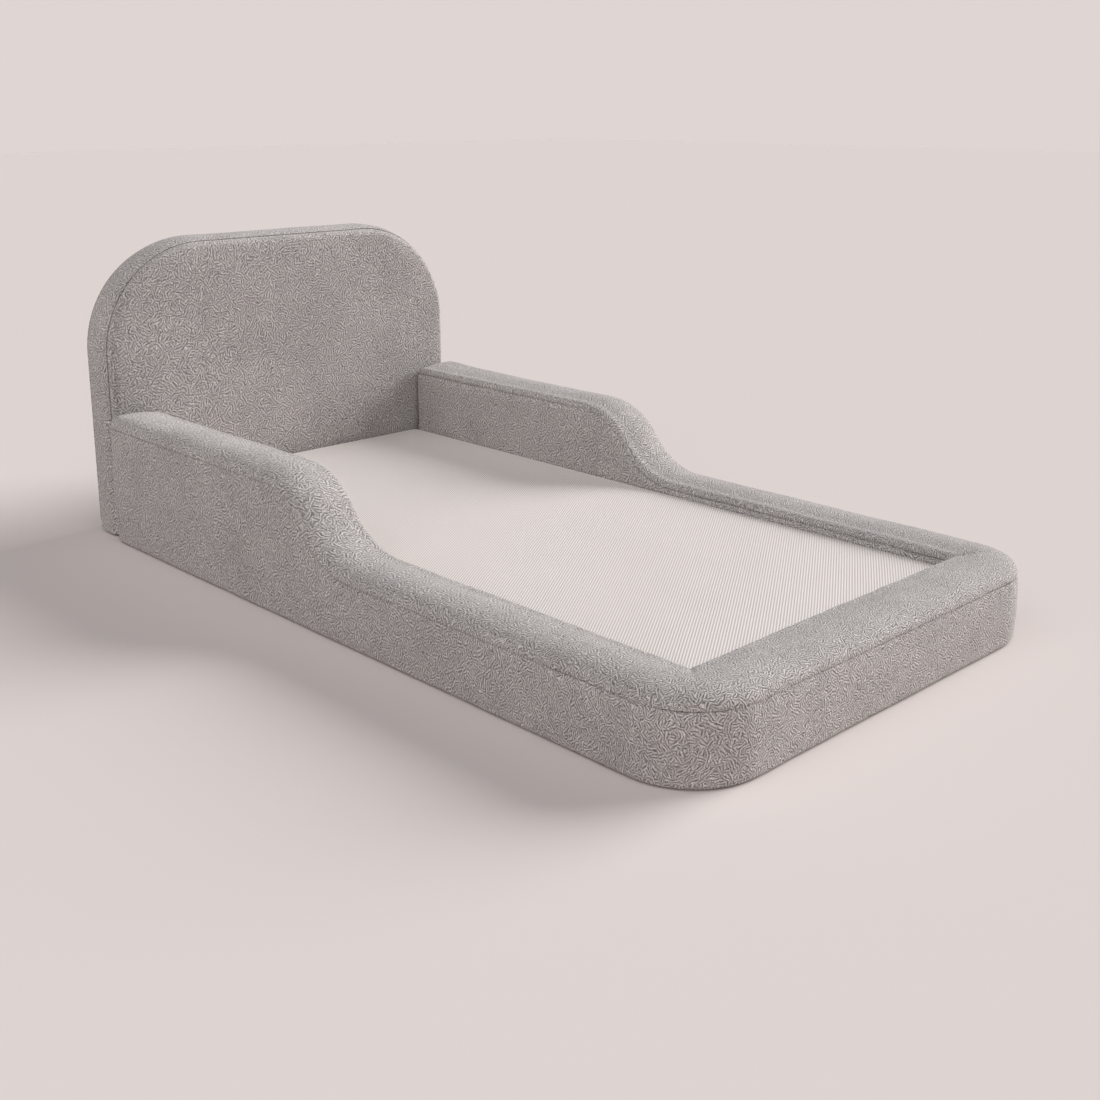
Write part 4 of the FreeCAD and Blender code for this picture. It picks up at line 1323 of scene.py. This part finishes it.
# Foam inside the covers. The rails' blocks meet on the diagonals of the foot corners.
diagonal = corner_start + CORNER_STATIONS // 2
foam(rail_foam("foam_side_left", 0, diagonal), "rail_core_left")
foam(rail_foam("foam_foot", diagonal, LAST_STATION - diagonal), "foot_core")
foam(rail_foam("foam_side_right", LAST_STATION - diagonal, LAST_STATION), "rail_core_right")
board_low, board_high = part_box("headboard_board")
foam(slab_foam("foam_headboard_front", arch_loop(PAD_INSET + 0.006, 0.02), HEAD_FRONT + 0.010, board_low.y,
               upright, roll=0.018), "headboard_front_foam")
foam(slab_foam("foam_headboard_back", arch_loop(0.021, 0.015), board_high.y, HEAD_BACK - 0.014,
               upright, roll=0.010), "headboard_back_foam")
block_foam("foam_under_well", "base_foam", "frame", top_gap=0.0012, roll=0.003)
block_foam("foam_mattress_core", "mattress_core", "mattress", side_gap=0.008)
block_foam("foam_mattress_layer", "mattress_comfort_layer", "mattress")

# Lining and underside cloth, each cut flat and stretched over its foam.
lining = flat_sheet("well_quilted_lining", lining_low_corner, lining_high_corner, columns=150, rows=310,
                    below=True, waves=0.0003, quilt=0.0011)
fit(lining, "frame", LINING, ["well_lining"])
strip = fit(base_end_strip(), "frame", LINING, ["base_end_panel"])
under = fit(frame_underside(), "frame", UNDERSIDE, ["base_panel"])
foot_low, foot_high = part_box("headboard_base_panel")
foot_inset, foot_front, foot_back = 0.018, BAND_FRONT + 0.014, BAND_BACK - 0.010
foot_cloth = flat_sheet("headboard_underside_cloth", (foot_low.x + foot_inset, foot_front, 0.0002),
                        (foot_high.x - foot_inset, foot_back, 0.0012), columns=120, rows=14, below=False,
                        waves=0.0006)
fit(foot_cloth, "frame", UNDERSIDE, ["headboard_base_panel"])
panel_low, panel_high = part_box("mattress_base_panel")
mattress_cloth = flat_sheet("mattress_underside_cloth",
                            (panel_low.x + HEM, panel_low.y + HEM, MATTRESS_UNDER),
                            (panel_high.x - HEM, panel_high.y - HEM, panel_high.z), columns=120, rows=240,
                            below=False, waves=0.0008)
fit(mattress_cloth, "mattress", BORDER_KNIT, ["mattress_base_panel"])

# Zips: each one's name, the way it faces and the body it is sewn to.
ZIPS = (("frame_left", (1, 0, 0), "frame"), ("frame_right", (-1, 0, 0), "frame"),
        ("headboard", (0, 1, 0), "frame"), ("mattress", (-1, 0, 0), "mattress"))
coils, stitches = coil_tree(COIL), stitch_tree(THREAD)
for zip_name, zip_out, zip_body in ZIPS:
    zipper = zip_place(zip_name, zip_out)
    length = zipper["length"]
    tape = fit(zip_tape(zipper), zip_body, TAPE, [zip_name + "_zip_tape"])
    coil_sizes = {"Length": length - COIL_SHORTER, **COIL_SIZES}
    coil = grown(zip_name + "_zip_coil_loops", coils, coil_sizes, lifted(zipper, COIL_LIFT))
    fit(coil, zip_body, COIL, [zip_name + "_zip_coil"])
    stitch_sizes = {"Length": length - STITCHES_SHORTER, **STITCH_SIZES}
    stitching = grown(zip_name + "_zip_stitching", stitches, stitch_sizes, lifted(zipper, STITCH_LIFT))
    fit(stitching, zip_body, THREAD)
    fit(zip_clamps(zipper), zip_body, ZINC, [zip_name + "_zip_stops"])
    fit(zip_slider(zipper), zip_name + "_slider", ZINC, [zip_name + "_zip_slider"])

coat("headboard_board", PLYWOOD)
coat("hook_strips", FASTENER)
coat("loop_strips", FASTENER)


# ---------------------------------------------------------------- studio

FLOOR_SHADE = "dfd5d2"
# Where the camera stands in metres, its angles in degrees, and its lens in millimetres.
CAMERA_PLACE = (-2.2189, -2.4258, 1.1458)
CAMERA_DOWN = 13.692
CAMERA_TURN = -43.975
LENS_LENGTH = 45.38
LENS_SHIFT = -0.1


def softbox(name, azimuth, elevation, share, spread):
    """A broad soft lamp. share is how much of the floor's light it gives, and spread its width in degrees."""
    lamp = bpy.data.lights.new(name, "SUN")
    lamp.energy = share * math.pi / math.sin(math.radians(elevation))
    lamp.angle = math.radians(spread)
    light = linked(name, lamp)
    light.rotation_euler = (math.radians(90 - elevation), 0, math.radians(azimuth + 90))


def studio():
    """A plain pale floor, soft daylight from the right and the view from the foot."""
    bpy.ops.mesh.primitive_plane_add(size=60)
    floor = bpy.context.object
    floor.name = "studio_floor"
    finish = Finish("pale_studio_floor", base_color=linear(FLOOR_SHADE), roughness=1.0)
    finish.shader.inputs["Specular IOR Level"].default_value = 0.0
    floor.data.materials.append(finish.material)
    # The air is seen as bright as the floor but lights the bed only a little.
    world = bpy.data.worlds.new("studio_air")
    world.use_nodes = True
    air = Wiring(world.node_tree)
    air.tree.nodes.clear()
    path = air.node("ShaderNodeLightPath").outputs
    seen = air.maths("MAXIMUM", path["Is Camera Ray"], path["Is Glossy Ray"])
    glow = air.first("ShaderNodeBackground", {"Color": (1.0, 0.99, 1.0, 1), "Strength": 0.04})
    wall = air.first("ShaderNodeBackground", {"Color": linear(FLOOR_SHADE), "Strength": 1.0})
    mixed = air.first("ShaderNodeMixShader", {0: seen, 1: glow, 2: wall})
    air.node("ShaderNodeOutputWorld", {"Surface": mixed})
    bpy.context.scene.world = world
    softbox("window_side_softbox", azimuth=-15, elevation=23.5, share=0.49, spread=38)
    softbox("left_fill", azimuth=213, elevation=38, share=0.23, spread=100)
    softbox("overhead_fill", azimuth=203, elevation=70, share=0.13, spread=80)
    softbox("head_side_fill", azimuth=160, elevation=40, share=0.09, spread=80)
    lens = bpy.data.cameras.new("view_from_foot")
    lens.sensor_width = 36.0
    lens.lens = LENS_LENGTH
    lens.shift_y = LENS_SHIFT
    lens.clip_end = 200
    camera = linked("view_from_foot", lens)
    camera.location = CAMERA_PLACE
    camera.rotation_euler = (math.radians(90 - CAMERA_DOWN), 0, math.radians(CAMERA_TURN))
    bpy.context.scene.camera = camera
    bpy.context.scene.view_settings.view_transform = "Standard"


studio()
